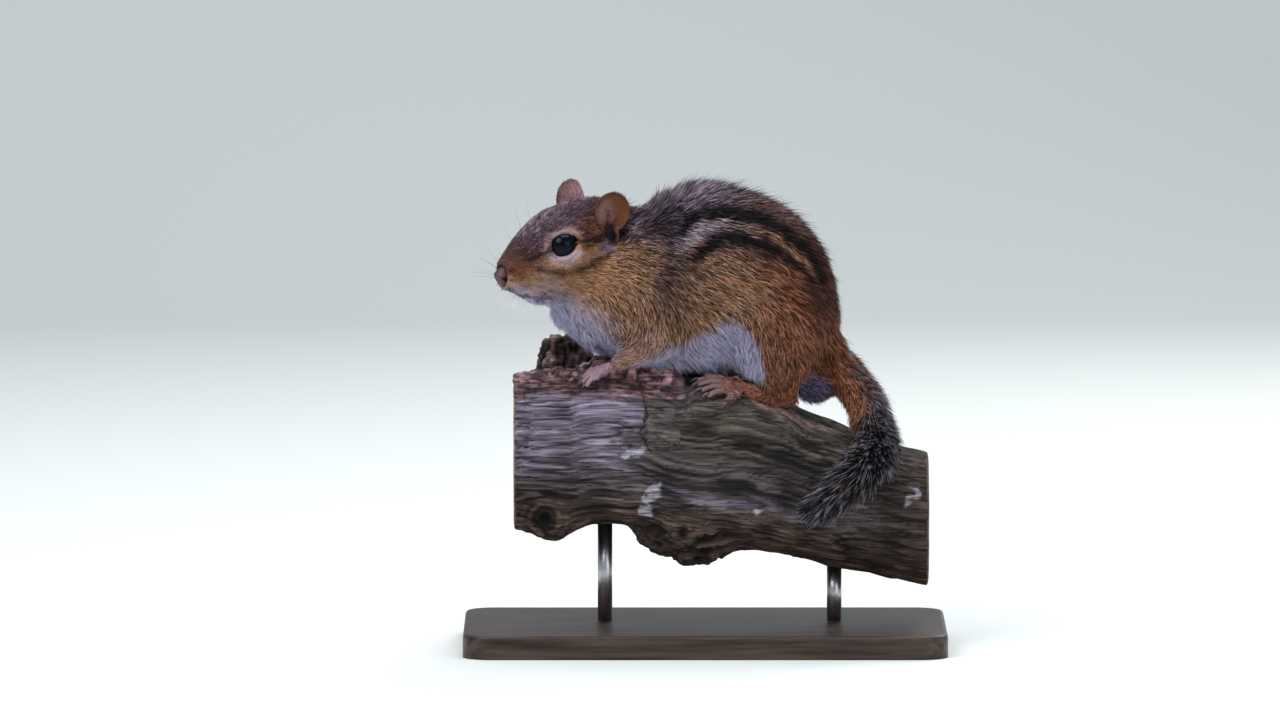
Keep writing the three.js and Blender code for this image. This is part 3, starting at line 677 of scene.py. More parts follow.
def picture_place(points):
    """Picture column and row of points in mm."""
    column = points[:, 0] / PIXEL + MIDPLANE_PIXEL
    row = FLOOR_PIXEL - (points[:, 2] * cos(ELEVATION) + points[:, 1] * sin(ELEVATION)) / PIXEL
    return column, row


def seen_from_left(points):
    """The places that points have on the animal's left once its right side is mirrored."""
    return points * np.array([1, 0, 1]) - np.abs(points) * np.array([0, 1, 0])


def head_place(points):
    """Places in the head's frame, mirrored to its left, and their picture column and row."""
    inside = to_head(points)
    inside[:, 1] = np.abs(inside[:, 1])
    return inside, *picture_place(from_head(inside))


def wavered(points, column, row, waves, seed):
    """Picture places moved by a little noise. `waves` are pairs of pixels and mm from crest to crest."""
    for k, (pixels, size) in enumerate(waves):
        column = column + pixels * noise(points, size, seed + k)
        row = row + pixels * noise(points, size, seed + k + 2)
    return column, row


def on_line(column, row, line, soft=0.5):
    """1 on a line and 0 off it, with a soft edge."""
    best = np.full(len(column), 9.0)
    for (x0, y0, w0), (x1, y1, w1) in zip(line, line[1:]):
        run, fall = x1 - x0, y1 - y0
        t = np.clip(((column - x0) * run + (row - y0) * fall) / (run**2 + fall**2), 0, 1)
        away = np.hypot(column - x0 - t * run, row - y0 - t * fall) / (w0 + t * (w1 - w0))
        best = np.minimum(best, away)
    return 1 - smooth_step(best, 1 - soft, 1 + soft)


def spot(column, row, at, size, soft=0.4):
    away = np.hypot((column - at[0]) / size[0], (row - at[1]) / size[1])
    return 1 - smooth_step(away, 1 - soft, 1 + soft)


def below(column, row, edge, soft=7):
    x, y = np.array(edge).T
    return smooth_step(row - np.interp(column, x, y), -soft, soft)


def above(column, row, edge, soft=7):
    return 1 - below(column, row, edge, soft)


def ramp(column, row, columns, rows=None):
    """Goes from 0 to 1 between two columns and between two rows. Either pair may be None."""
    share = np.ones(len(column))
    for place, ends in ((column, columns), (row, rows)):
        if ends:
            share = share * smooth_step(place, *ends)
    return share


def mixed(colour, other, share):
    return colour + (other - colour) * share[:, None]


def painted(colour, column, row, marks):
    """Mixes marks into a colour in turn. Each row is a mark's colour, strength, shape and its sizes."""
    for other, strength, shape, *sizes in marks:
        colour = mixed(colour, other, strength * shape(column, row, *sizes))
    return colour


# The coat's marks as `painted` reads them, from the first to the last that is laid over the others.
BODY_MARKS = [
    ((GREY_BACK + OCHRE) * 0.16, 0.92, spot, (667, 262), (28, 52), 0.6),
    (OCHRE * 0.6, 0.4, spot, (690, 304), (24, 34), 0.7),
    (CHEEK * 0.9, 0.8, spot, (748, 286), (32, 18), 0.7),
    (GREY_BACK, 1, ramp, (830, 760), (262, 222)),
    (GREY_BACK * 0.62, 1, ramp, (700, 655), (262, 222)),
    (BLACK_STRIPE, 0.6, spot, (668, 224), (17, 18), 0.6),
    (RED_BACK, 0.9, ramp, (712, 770), (300, 240)),
    (RUST, 1, ramp, (745, 800), (225, 262)),
    (DARK_RUST * 0.85, 0.9, ramp, (794, 818), (356, 300)),
    (THIGH, 0.8, spot, (784, 345), (36, 32), 0.6),
    (BLACK_STRIPE, 0.95, on_line, UPPER_STRIPE),
    (BLACK_STRIPE, 0.96, on_line, LOWER_STRIPE),
]
HEAD_MARKS = [
    (OCHRE * 0.95, 0.9, ramp, (596, 632)),
    (CROWN, 1, above, CROWN_EDGE),
    (CROWN * 1.08, 1, ramp, None, (226, 210)),
    (GREY_BACK * 0.45, 0.6, spot, (546, 222), (24, 16), 0.7),
    (BRIDGE, 0.85, spot, (521, 262), (22, 10), 0.6),
    (DARK, 0.4, spot, (521, 251), (20, 9), 0.7),
    (TEMPLE, 0.8, spot, (594, 230), (14, 17), 0.7),
    (CHEEK * 1.15, 0.85, spot, (592, 284), (34, 16), 0.7),
    (CHEEK * 1.1, 0.7, spot, (636, 290), (20, 18), 0.8),
    (DARK_RUST * 0.6, 0.88, on_line, CHEEK_STREAK, 0.9),
    (TEMPLE, 0.8, spot, (587, 249), (7, 4), 0.6),
    (CHEEK, 0.7, on_line, CHEEK_GLOW, 0.8),
    (LID_PALE, 0.9, on_line, UNDER_EYE, 0.9),
    ((LID_PALE + CHEEK) * 0.42, 0.8, on_line, BROW_LINE, 0.8),
    (BLACK_STRIPE, 0.88, on_line, EYE_STREAK, 0.8),
    (BUFF * 0.9, 0.5, spot, (518, 285), (14, 5), 0.6),
    (NOSE_SIDE, 0.85, spot, (520, 274), (10, 8), 0.6),
    (DARK, 0.25, spot, (546, 281), (18, 8), 0.7),
    (PALE_STRIPE, 0.45, spot, (636, 226), (6, 6), 0.6),
    (EAR_BARE, 0.9, spot, (608, 248), (8, 6), 0.5),
]
# Pixels that the marks' edges wander, and mm from crest to crest.
BODY_WAVES = ((2.2, 2.2), (1.5, 1))
HEAD_WAVES = ((1.6, 1.6), (1.4, 0.8))
NOSE_DARK = np.array([[37.3, 0, -5], [3, 3.2, 3.5]])  # middle and radii in mm in the head's frame


def limb_colours(colour, column, row, points, out):
    """The pale forearms and paws, the hind feet, and the dark sack under the tail."""
    colour = mixed(colour, FOREARM, on_line(column, row, FOREARM_LINE, 0.35))
    colour = mixed(colour, PAW, ramp(column, row, (618, 604), (356, 364)))
    # The forelegs' inner sides are pale; they are also painted twice as bright as the paws, as painted light
    # where the body shades them.
    inner = smooth_step(out[:, 1] * np.sign(points[:, 1]), 0.1, -0.5)
    colour = mixed(colour, PAW * 2, 0.9 * inner * ramp(column, row, (632, 618), (344, 350)))
    foot = smooth_step(row - np.clip((column - 732) * 0.6, 0, 14), 366, 374)
    foot *= ramp(column, row, (790, 770)) * ramp(column, row, (672, 690))
    foot = np.where(np.abs(points[:, 1]) > 9.5, foot, 0)
    colour = mixed(colour, THIGH * 0.85, foot)
    colour = mixed(colour, TOE_GREY, foot * smooth_step(column + 5 * noise(points, 2, 19), 734, 712))
    colour = mixed(colour, TOE_GREY * 0.8, foot * spot(column, row, (734, 397), (9, 8), 0.3))
    sack = spot(column, row, (812, 391), (20, 14), 0.35) * smooth_step(np.abs(points[:, 1]), 8, 6)
    return mixed(colour, SLATE, sack * smooth_step(column, 790, 797))


def body_colours(points, out):
    column, row = wavered(points, *picture_place(seen_from_left(points)), BODY_WAVES, 1)
    colour = painted(np.tile(OCHRE, (len(points), 1)), column, row, BODY_MARKS)
    stripe = mixed(np.tile(PALE_STRIPE, (len(points), 1)), CHEEK * 0.62, smooth_step(column, 715, 770))
    colour = mixed(colour, stripe, on_line(column, row, PALE_LINE))
    spine = (1 - smooth_step(np.abs(points[:, 1]), 1.2, 2.4)) * smooth_step(out[:, 2], 0.2, 0.5)
    spine *= ramp(column, row, (650, 668)) * ramp(column, row, (826, 800))
    colour = mixed(colour, BLACK_STRIPE, 0.85 * spine)
    buff = smooth_step(below(column, row, WHITE_EDGE, 18), 0.2, 0.8) * smooth_step(column, 778, 756)
    colour = mixed(colour, BUFF, 0.8 * buff)
    belly = below(column, row, WHITE_EDGE) * smooth_step(column, 770, 758)
    white = np.maximum(belly, smooth_step(out[:, 2], -0.35, -0.75))
    colour = mixed(colour, WHITE, white * ramp(column, row, (822, 790), (386, 378)))
    return limb_colours(colour, column, row, points, out)


def head_colours(points, out):
    inside, column, row = head_place(points)
    column, row = wavered(points, column, row, HEAD_WAVES, 5)
    level = (out @ HEAD_TURNED)[:, 2]
    colour = painted(np.tile(CHEEK, (len(points), 1)), column, row, HEAD_MARKS)
    buff = below(column, row + 17, WHITE_EDGE, 15) * smooth_step(column, 530, 556)
    colour = mixed(colour, (BUFF + WHITE) * 0.56, 0.9 * buff)
    colour = mixed(colour, LIP, 0.75 * spot(column, row, (528, 291), (22, 6), 0.6))
    white = np.maximum(below(column, row, WHITE_EDGE, 8), smooth_step(level, -0.45, -0.8))
    colour = mixed(colour, WHITE, white)
    beside = smooth_step(level, -0.8, -0.35)
    colour = mixed(colour, JAW_SHADE, 0.6 * beside * spot(column, row, (548, 304), (22, 5), 0.6))
    lips = on_line(column, row, MOUTH_LINE, 0.6) * smooth_step(level, -0.97, -0.75)
    colour = mixed(colour, BLACK_STRIPE, 0.75 * lips)
    away = np.linalg.norm((inside - NOSE_DARK[0]) / NOSE_DARK[1], axis=1)
    return mixed(colour, NOSE_COLOUR * 0.8, smooth_step(away, 1.25, 1))


def coat_colours(points, out):
    """Colours of the coat at points in mm on the skin, whose normals are `out`."""
    ahead = to_head(points)
    share = smooth_step(ahead[:, 0] + 0.25 * ahead[:, 2], -14, -3) * smooth_step(ahead[:, 2], -26, -19)
    return mixed(body_colours(points, out), head_colours(points, out), share)


def coloured(mesh, name, colours):
    """Keeps a colour for each point of a mesh, which its material reads."""
    layer = mesh.color_attributes.new(name, "FLOAT_COLOR", "POINT")
    layer.data.foreach_set("color", np.c_[colours, np.ones(len(colours))].astype(np.float32).ravel())


def add_node(material, kind, **values):
    """A new node of a material, with the inputs of these names set."""
    node = material.node_tree.nodes.new(f"ShaderNode{kind}")
    for name, value in values.items():
        node.inputs[name].default_value = value
    return node


def connect(material, out_node, out_name, in_node, in_name):
    material.node_tree.links.new(out_node.outputs[out_name], in_node.inputs[in_name])


def shader_of(material):
    return material.node_tree.nodes["Principled BSDF"]


def attribute(material, name):
    node = add_node(material, "Attribute")
    node.attribute_name = name
    return node


def pattern(material, kind, **values):
    """A node that is laid out by the piece's own coordinates."""
    node = add_node(material, kind, **values)
    connect(material, add_node(material, "TexCoord"), "Object", node, "Vector")
    return node


def tones(material, source, low, high):
    """Turns a noise into colours. `low` and `high` are its ends, each a place on it and a colour."""
    scale = add_node(material, "ValToRGB")
    for stop, (at, colour) in zip(scale.color_ramp.elements, (low, high)):
        stop.position = at
        stop.color = (*colour, 1)
    connect(material, source, "Fac", scale, "Fac")
    return scale


def tinted(material, source):
    """Gives the shader the markings' colour, multiplied by that of another node."""
    tint = add_node(material, "Mix")
    tint.data_type = "RGBA"
    tint.blend_type = "MULTIPLY"
    connect(material, attribute(material, "marks"), "Color", tint, "A")
    connect(material, source, "Color", tint, "B")
    connect(material, tint, "Result", shader_of(material), "Base Color")
    return tint


def roughened(material, source, output, **values):
    """Gives the shader a bump as high as another node's output."""
    relief = add_node(material, "Bump", **values)
    connect(material, source, output, relief, "Height")
    connect(material, relief, "Normal", shader_of(material), "Normal")
    return relief


def marked_material(name, roughness, specular, bump=0.0, grain=2500):
    """A finish whose colour is the markings', with a fine unevenness over it."""
    material = plain_material(name, (0.4, 0.3, 0.2), roughness, specular=specular)
    if not bump:
        connect(material, attribute(material, "marks"), "Color", shader_of(material), "Base Color")
        return material
    speckle = pattern(material, "TexNoise", Scale=grain, Detail=3)
    tinted(material, speckle).inputs["Factor"].default_value = 0.6
    roughened(material, speckle, "Fac", Strength=bump, Distance=0.3 * MM)
    return material


def pebbled_material(name, colours, roughness, grain, bump):
    """Bare skin, horn or metal: mottled between two colours, with fine pebbles."""
    material = plain_material(name, colours[0], roughness)
    mottle = pattern(material, "TexNoise", Scale=grain, Detail=4)
    shades = tones(material, mottle, (0.35, colours[0]), (0.65, colours[1]))
    connect(material, shades, "Color", shader_of(material), "Base Color")
    pebbles = pattern(material, "TexVoronoi", Scale=grain * 2.5)
    roughened(material, pebbles, "Distance", Strength=bump, Distance=0.2 * MM)
    return material


points, out = positions(skin_bm) / MM, normals(skin_bm)
skin = new_piece("skin", skin_bm, marked_material("skin_under_coat", 0.85, 0.2, bump=0.6))
coloured(skin.data, "marks", coat_colours(points + out * coat_at(points)[3][:, None], out) * 0.75)
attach(skin, "root")
FLESH = BODY_NODES + ["tail_middle", "tail_tip"]
FLESH += [f"{kind}_{side}" for kind in ("forepaw", "hind_foot") for side in SIDES]
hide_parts(*FLESH)


# The coat: thin tapered tufts of hair, rooted in the skin, that lie back over one another. Each stands for a
# few hairs. Those of the face and the feet are short and straight, and the longer ones of the body bend.
COAT_PIECES = {"short": 2, "long": 4}
TUFTS_A_PIECE = {"short": 40000, "long": 18500}
LONG_HAIR = 3.1  # mm
ROOT_DEPTH = 0.25  # mm that a tuft starts inside the skin
TAPER = 0.45
FLATNESS = 0.7
PATCH = 0.003  # of the unwrap, across one tuft
LID_BARE = 0.85  # mm round the lids' opening
NOSE_BARE = np.array([[37.3, 0, -5.2], [2.7, 2.9, 3.1]])  # middle and radii in mm in the head's frame
EAR_SIDE = 8  # mm out from the head's middle, where its bare skin is
BRUSH_JOINT = 24  # the point of the tail's line from which the brush covers it
BRUSH_COVER = 5  # mm
BRIGHTEST = 0.78
DARKEST = 0.003
STANDING = 0.08  # share of the hairs on the back that stand up
random = np.random.default_rng(7)


def values_of(items, name, kind, width=3):
    """One property of all of a mesh's points or triangles, in rows."""
    found = np.empty(len(items) * width, kind)
    items.foreach_get(name, found)
    return found.reshape(-1, width)


def unwrapped(piece):
    """An unwrap of the skin's own shape, read at the corners of its triangles."""
    bpy.context.view_layer.objects.active = piece
    piece.select_set(True)
    bpy.ops.object.mode_set(mode="EDIT")
    bpy.ops.mesh.select_all(action="SELECT")
    bpy.ops.uv.smart_project(angle_limit=radians(66), island_margin=0.002)
    bpy.ops.object.mode_set(mode="OBJECT")
    piece.select_set(False)
    return values_of(piece.data.uv_layers.active.uv, "vector", np.float32, 2)


def unit(v):
    return v / np.maximum(np.linalg.norm(v, axis=1), 1e-9)[:, None]


def tuft_rings(roots, out, lie, length, lift, width, joints, bend):
    """The points of tapered three-sided tufts: three at the root and at each joint, and one at the tip."""
    across = np.cross(out, lie)
    centre = roots - out * ROOT_DEPTH
    rings = []
    for k in range(joints):
        slope = np.radians(lift + (bend * (1 - 2 * k / joints) if joints > 1 else 0))
        heading = lie * np.cos(slope)[:, None] + out * np.sin(slope)[:, None]
        thick = width / 2 * (1 - TAPER * k / joints)
        for angle in (90, 210, 330):
            aside = across * (cos(radians(angle)) * thick)[:, None]
            rings.append(centre + aside + out * (sin(radians(angle)) * FLATNESS * thick)[:, None])
        centre = centre + heading * (length / joints)[:, None]
    return rings + [centre]


def tuft_faces(joints):
    """The corners of one tuft's triangles: its root's, its sides' and its tip's."""
    faces = [(2, 1, 0)]
    for k in range(joints - 1):
        for i in range(3):
            a, b = 3 * k + i, 3 * k + (i + 1) % 3
            faces += [(a, b, b + 3), (a, b + 3, a + 3)]
    last = 3 * (joints - 1)
    return np.array(faces + [(last + i, last + (i + 1) % 3, last + 3) for i in range(3)])


def tuft_piece(name, roots, out, lie, length, lift, width, patch, shades, material, bend=12):
    """One mesh of tufts, each a row of the arrays, in mm and degrees. `shades` are the colours at the root,
    at each joint and at the tip."""
    joints = len(shades) - 1
    rings = tuft_rings(roots, out, lie, length, lift, width, joints, bend)
    size = len(rings)
    order = (tuft_faces(joints)[None] + (np.arange(len(roots)) * size)[:, None, None]).reshape(-1)
    mesh = bpy.data.meshes.new(name)
    mesh.vertices.add(len(roots) * size)
    mesh.vertices.foreach_set("co", (np.stack(rings, axis=1) * MM).astype(np.float32).ravel())
    mesh.loops.add(len(order))
    mesh.loops.foreach_set("vertex_index", order.astype(np.int32))
    mesh.polygons.add(len(order) // 3)
    mesh.polygons.foreach_set("loop_start", np.arange(0, len(order), 3, dtype=np.int32))
    mesh.update(calc_edges=True)
    each = [shades[k] for k in range(joints) for _ in range(3)] + [shades[-1]]
    coloured(mesh, "marks", np.stack(each, axis=1).reshape(-1, 3))
    spread = [[(k % 3) / 2 - 0.5, k // 3 / joints - 0.5] for k in range(size - 1)] + [[0, 0.5]]
    flat = np.clip(patch[:, None, :] + np.array(spread)[None] * PATCH, 0, 1).reshape(-1, 2)
    mesh.uv_layers.new(name="OFBake").uv.foreach_set("vector", flat[order].astype(np.float32).ravel())
    mesh.materials.append(material)
    mesh.shade_smooth()
    piece = bpy.data.objects.new(name, mesh)
    bpy.context.collection.objects.link(piece)
    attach(piece, "root")
    return piece


def turned_about(lie, out, degrees):
    """Turns directions that lie in the skin about its normals."""
    angle = np.radians(degrees)[:, None]
    return lie * np.cos(angle) + np.cross(out, lie) * np.sin(angle)


def surface_of(piece):
    """Corners of a mesh's triangles in mm, the normals there, and the corners' places on its unwrap."""
    mesh = piece.data
    at = values_of(mesh.vertices, "co", np.float32) / MM
    normal = values_of(mesh.vertices, "normal", np.float32)
    mesh.calc_loop_triangles()
    corners = values_of(mesh.loop_triangles, "vertices", np.int32)
    loops = values_of(mesh.loop_triangles, "loops", np.int32)
    flat = unwrapped(piece)
    return at[corners], normal[corners], flat[loops]


def rooted(surface, count, crowding):
    """Roots, normals and places on the unwrap for `count` tufts. `crowding` gives how closely they stand at
    points in mm whose normals are known."""
    at, normal, flat = surface
    areas = np.linalg.norm(np.cross(at[:, 1] - at[:, 0], at[:, 2] - at[:, 0]), axis=1) / 2
    odds = areas * crowding(at.mean(1), unit(normal.mean(1)))
    chosen = random.choice(len(at), size=count, p=odds / odds.sum())
    share = random.dirichlet((1, 1, 1), count)[:, :, None]
    return (at[chosen] * share).sum(1), unit((normal[chosen] * share).sum(1)), (flat[chosen] * share).sum(1)


def hair_width(length):
    return 0.18 + 0.028 * length


def grows(points):
    """0 where no hair grows: inside the lids, on the nose, the toes and the bare skin at the ears, and under
    the tail's brush."""
    free = np.ones(len(points))
    for side in SIDES.values():
        reach, height, across = by_the_eye(points, side, LID_BARE)
        free *= np.where((height > -1) & (reach < EYE_REACH) & (across < 1), 0, 1)
    inside, column, row = head_place(points)
    free *= np.linalg.norm((inside - NOSE_BARE[0]) / NOSE_BARE[1], axis=1) > 1
    brushed = tail_line[None, BRUSH_JOINT:, :3]
    free *= np.linalg.norm(points[:, None, :] - brushed, axis=2).min(1) > BRUSH_COVER
    for hole in (EAR_OPENING, EAR_NOTCH):
        free *= 1 - (spot(column, row, *hole, 0.1) > 0.5) * (inside[:, 1] > EAR_SIDE)
    x, y, z = points.T
    toes = (z < 94.2) & (x < -37.5)
    toes |= (z < 94.4) & (x < 1) & (x > -6) & (np.abs(y) > 10.5)
    return free * ~toes


def coat_crowding(points, kind):
    long = coat_at(points)[1]
    bent = smooth_step(long + 0.5 * noise(points, 2.5, 17), LONG_HAIR - 0.6, LONG_HAIR + 0.6)
    return grows(points) * (bent if kind == "long" else 1 - bent) / (long * hair_width(long)) ** 0.9


def limited(colour):
    """Keeps the hue of a colour that would be too bright or too dark."""
    dimmed = np.minimum(1, BRIGHTEST / np.maximum(colour.max(1), 1e-4))
    return np.maximum(colour * dimmed[:, None], DARKEST)


def ticked(colour, roots, dark=0.36, pale=0.26, uneven=0.32):
    """Varies the tufts from hair to hair, with some dark guard hairs and some pale ones."""
    count = len(colour)
    white = smooth_step(colour.mean(1), 0.4, 0.7)
    bright = 1 + (random.normal(0, uneven, count) + 0.16 * noise(roots, 2.2, 15)) * (1 - 0.5 * white)
    # Darker streaks through white fur, painted shade in the gaps between clumps.
    bright = bright * (1 - 0.4 * white * smooth_step(noise(roots, 1.3, 18), 0.05, 0.6))
    bright = np.maximum(bright, 0.2)
    draw = random.random(count)
    bright = np.where(draw < dark * (1 - 0.4 * white), bright * (0.18 + 0.3 * white), bright)
    bright = np.where(draw > 1 - pale * (1 - white), bright * 2, bright)
    warm = 1 + random.normal(0, 0.1, count) * (1 - white)
    # Pale hairs get a blue-lilac tint as a painted sheen.
    sheen_tint = np.where(draw > 1 - pale, 1.35, 1)
    tint = np.stack([warm, warm**0.3 * sheen_tint**0.3, sheen_tint / warm], axis=1)
    return limited(colour * bright[:, None] * tint)


def dealt(arrays, k, pieces):
    """Every array's share for one of several pieces."""
    return [array[k::pieces] for array in arrays]


def combed(roots, out):
    """Tufts' way, length, lift and width at their roots, which ones stand up, and the coat's depth there."""
    count = len(roots)
    lie, length, lift, depth = coat_at(roots)
    lie = unit(lie - out * (lie * out).sum(1)[:, None])
    swirl = 8 * noise(roots, 9, 11) + 10 * noise(roots, 3.2, 12) + random.normal(0, 9, count)
    lie = turned_about(lie, out, swirl)
    length = length * (1 + 0.18 * noise(roots, 4, 13)) * random.uniform(0.7, 1.2, count)
    lift = lift + 5 * noise(roots, 3.5, 14) + random.normal(0, 4, count)
    width = hair_width(length) * random.uniform(0.75, 1.2, count)
    back = smooth_step(out[:, 2], 0.1, 0.6) * smooth_step(length, 3.4, 4.6)
    standing = random.random(count) < STANDING * back
    length = length * np.where(standing, 1.25, 1)
    lift = lift + np.where(standing, 14, 0)
    return lie, length, lift, width, standing, depth


def short_shades(colour, roots, strand):
    """Root and tip of the short tufts. `strand` makes fine streaks of them that run back over the head."""
    colour = ticked(colour * (1 + 0.8 * strand)[:, None], roots, 0.32, 0.26, 0.4)
    # The root is darkened as painted shade between the tufts.
    return [colour * 0.24, limited(colour * 1.7)]


def long_shades(colour, roots, out, standing):
    """Root, joint and tip of the long tufts. Many on the back have dark tips, and the others pale ones."""
    colour = ticked(colour, roots)
    dark_tips = 0.35 + 0.35 * smooth_step(out[:, 2], 0.2, 0.8)
    dark_tips = dark_tips * (1 - smooth_step(colour.mean(1), 0.4, 0.7))
    tip = np.where(standing | (random.random(len(roots)) < dark_tips), 0.22, 1.45)
    # The root is darkened as painted shade between the tufts.
    return [colour * 0.36, colour * 0.92, limited(colour * tip[:, None])]


def cover(kind, surface, material):
    """Covers the skin with one kind of tuft."""
    pieces = COAT_PIECES[kind]
    count = pieces * TUFTS_A_PIECE[kind]
    roots, out, patch = rooted(surface, count, lambda at, way: coat_crowding(at, kind))
    lie, length, lift, width, standing, depth = combed(roots, out)
    seen_at = roots + lie * (0.55 * length)[:, None] + out * depth[:, None]
    colour = coat_colours(seen_at + random.normal(0, 0.4, (count, 3)), out)
    if kind == "short":
        strand = noise(to_head(roots) * np.array([0.4, 1, 1]), 0.9, 16)
        width = width * np.where(np.abs(strand) > 0.62, 1.8, 1.3)
        shades = short_shades(colour, roots, strand)
    else:
        shades = long_shades(colour, roots, out, standing)
    tufts = (roots, out, lie, length, lift, width, patch)
    for k in range(pieces):
        mine = dealt(tufts, k, pieces)
        piece = tuft_piece(f"coat_{kind}_{k + 1}", *mine, dealt(shades, k, pieces), material)


hair = marked_material("coat_hair", 0.55, 0.22)
skin_surface = surface_of(skin)
for kind in COAT_PIECES:
    cover(kind, skin_surface, hair)


# The tail's brush: long hairs that lean back along the core. They are rust at the root, then black, and many
# have frosted tips. Under the tail's root they stay orange.
BRUSH_PIECES = 2
HAIRS_A_PIECE = 11500
BRUSH_FROM = 0.1  # share of the tail's length where long hair begins
# Places as shares of the tail's length, then the mm, the degrees or the share of the hairs there.
BRUSH_LENGTHS = ([0.1, 0.2, 0.32, 0.5, 0.8, 1], [5, 6, 8, 10.5, 10.5, 9.5])
BRUSH_LIFTS = ([0.1, 0.2, 0.35, 0.6, 0.85, 1], [17, 23, 28, 31, 24, 15])
FROSTED = ([0.1, 0.45, 0.65, 1], [0.3, 0.25, 0.17, 0.12])
BANDED = ([0.1, 0.45, 0.65, 1], [0.5, 0.3, 0.15, 0.08])
BRUSH_BLACK = paint(12, 10, 11)
BRUSH_ROOT = paint(96, 66, 48)
BRUSH_BAND = paint(112, 88, 74)
FROST = paint(214, 208, 226)
TAIL_ORANGE = paint(186, 122, 86)

count = BRUSH_PIECES * HAIRS_A_PIECE
along = BRUSH_FROM + (1 - BRUSH_FROM) * random.random(count) ** 0.92
angle = random.uniform(0, 2 * pi, count)
steps = np.linspace(0, 1, len(tail_line))
centre = np.stack([np.interp(along, steps, tail_line[:, k]) for k in range(4)], axis=1)
flow = np.gradient(tail_line[:, :3], axis=0)
tangent = unit(np.stack([np.interp(along, steps, flow[:, k]) for k in range(3)], axis=1))
side_way = unit(np.array([[0, 1, 0]]) - tangent * tangent[:, 1:2])
up_way = np.cross(tangent, side_way)
out = side_way * np.cos(angle)[:, None] + up_way * np.sin(angle)[:, None]
roots = centre[:, :3] + out * (centre[:, 3] * 0.9)[:, None]
swirl = 9 * noise(roots, 5, 21) + random.normal(0, 7, count)
lie = turned_about(tangent, out, swirl)
length = np.interp(along, *BRUSH_LENGTHS) * random.uniform(0.62, 1.12, count)
lift = np.interp(along, *BRUSH_LIFTS) + 6 * noise(roots, 3, 22) + random.normal(0, 5, count)
orange = smooth_step(along, 0.5, 0.36) * smooth_step(out @ np.array([-0.8, -0.2, -0.5]), -0.4, 0.45)
orange = np.where(random.random(count) < orange, 1.0, 0.15 * orange)
frosted = random.random(count) < np.interp(along, *FROSTED) * (1 - orange)
banded = random.random(count) < np.interp(along, *BANDED)
length = length * np.where(frosted, 1.08, 1)
width = random.uniform(0.24, 0.4, count) * np.where(frosted, 0.95, 1)
body = ticked(np.tile(BRUSH_BLACK, (count, 1)), roots, 0.1, 0.1)
rust = ticked(np.tile(TAIL_ORANGE, (count, 1)), roots)
band = np.where(banded[:, None], BRUSH_BAND * random.uniform(0.6, 1.2, (count, 1)), body)
frost = FROST * random.uniform(0.4, 1.1, (count, 1))
shades = [
    mixed(BRUSH_ROOT * smooth_step(along, 0.7, 0.3)[:, None] * 0.6 + BRUSH_BLACK, TAIL_ORANGE * 0.6, orange),
    mixed(body, rust, orange),
    np.where(frosted[:, None], frost * 0.42, mixed(band, rust, orange)),
    np.where(frosted[:, None], frost, mixed(body, rust, orange)),
]
patch = np.stack([0.02 + 0.96 * along, 0.02 + 0.96 * angle / (2 * pi)], axis=1)
tufts = (roots, out, lie, length, lift, width, patch)
for k in range(BRUSH_PIECES):
    mine = dealt(tufts, k, BRUSH_PIECES)
    piece = tuft_piece(f"tail_brush_{k + 1}", *mine, dealt(shades, k, BRUSH_PIECES), hair, bend=9)


# The eyes: wet black balls, each in a thin dark rim of bare lid.
def clear_gloss(name, colour, roughness):
    material = plain_material(name, colour, roughness, specular=0.2)
    shader_of(material).inputs["Specular Tint"].default_value = (0.45, 0.6, 1, 1)
    haze = pattern(material, "TexNoise", Scale=900)
    low, high = [share * np.array(colour) for share in (0.6, 1.5)]
    depth = tones(material, haze, (0, low), (1, high))
    connect(material, depth, "Color", shader_of(material), "Base Color")
    return material


eye_black = clear_gloss("eye_black", (0.0025, 0.002, 0.002), 0.04)
rim_skin = clear_gloss("lid_rim", (0.02, 0.014, 0.013), 0.35)
for name, side in SIDES.items():
    middle, look, ahead, up = eye_axes(side)
    eyeball = bmesh.new()
    bmesh.ops.create_uvsphere(eyeball, u_segments=48, v_segments=32, radius=(EYE_RADIUS - 0.05) * MM)
    facing = Matrix((ahead, up, look)).transposed().to_4x4()
    bmesh.ops.transform(eyeball, matrix=Matrix.Translation(Vector(middle) * MM) @ facing, verts=eyeball.verts)
    eye = new_piece(f"eyeball_{name}", eyeball, eye_black)
    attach(eye, "root")
    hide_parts(f"eye_{name}")
    rim = new_piece(f"lid_rim_{name}", around_eye(side, *LID_RIM), rim_skin)
    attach(rim, "root")


# The nose: a small damp pad that slopes back above and below, with a cleft down its middle and a
# comma-shaped nostril on each side.
NOSE_AT = np.array([36.4, 0, -5.0])
NOSE_SIZE = np.array([2.9, 2.7, 3.5])

nose_bm = bmesh.new()
bmesh.ops.create_icosphere(nose_bm, subdivisions=5, radius=1)
ways = np.array([vert.co for vert in nose_bm.verts])
dent = 0.14 * np.exp(-((ways[:, 1] / 0.1) ** 2)) * smooth_step(ways[:, 2], 0.35, -0.2) * (ways[:, 0] > 0)
for side in SIDES.values():
    hole = (ways - np.array([0.3, 0.9 * side, -0.2])) / np.array([0.3, 0.3, 0.22])
    slit = (ways - np.array([-0.1, 0.98 * side, -0.36])) / np.array([0.2, 0.25, 0.36])
    dent += 0.4 * np.exp(-(hole**2).sum(1)) + 0.4 * np.exp(-(slit**2).sum(1))
shape = ways * (1 - dent)[:, None] * NOSE_SIZE
shape[:, 0] -= 0.34 * np.abs(shape[:, 2] - 0.4)
place(nose_bm, from_head(shape + NOSE_AT) * MM)
bmesh.ops.recalc_face_normals(nose_bm, faces=nose_bm.faces)
nose = new_piece("nose_pad", nose_bm, marked_material("nose_skin", 0.42, 0.45, bump=0.5, grain=1700))
# Painted shade in the cleft and the nostrils: the deeper the dent, the darker.
coloured(nose.data, "marks", NOSE_COLOUR * np.clip(1.25 - 2.6 * dent, 0.06, 1)[:, None])
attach(nose, "root")
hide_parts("nose")


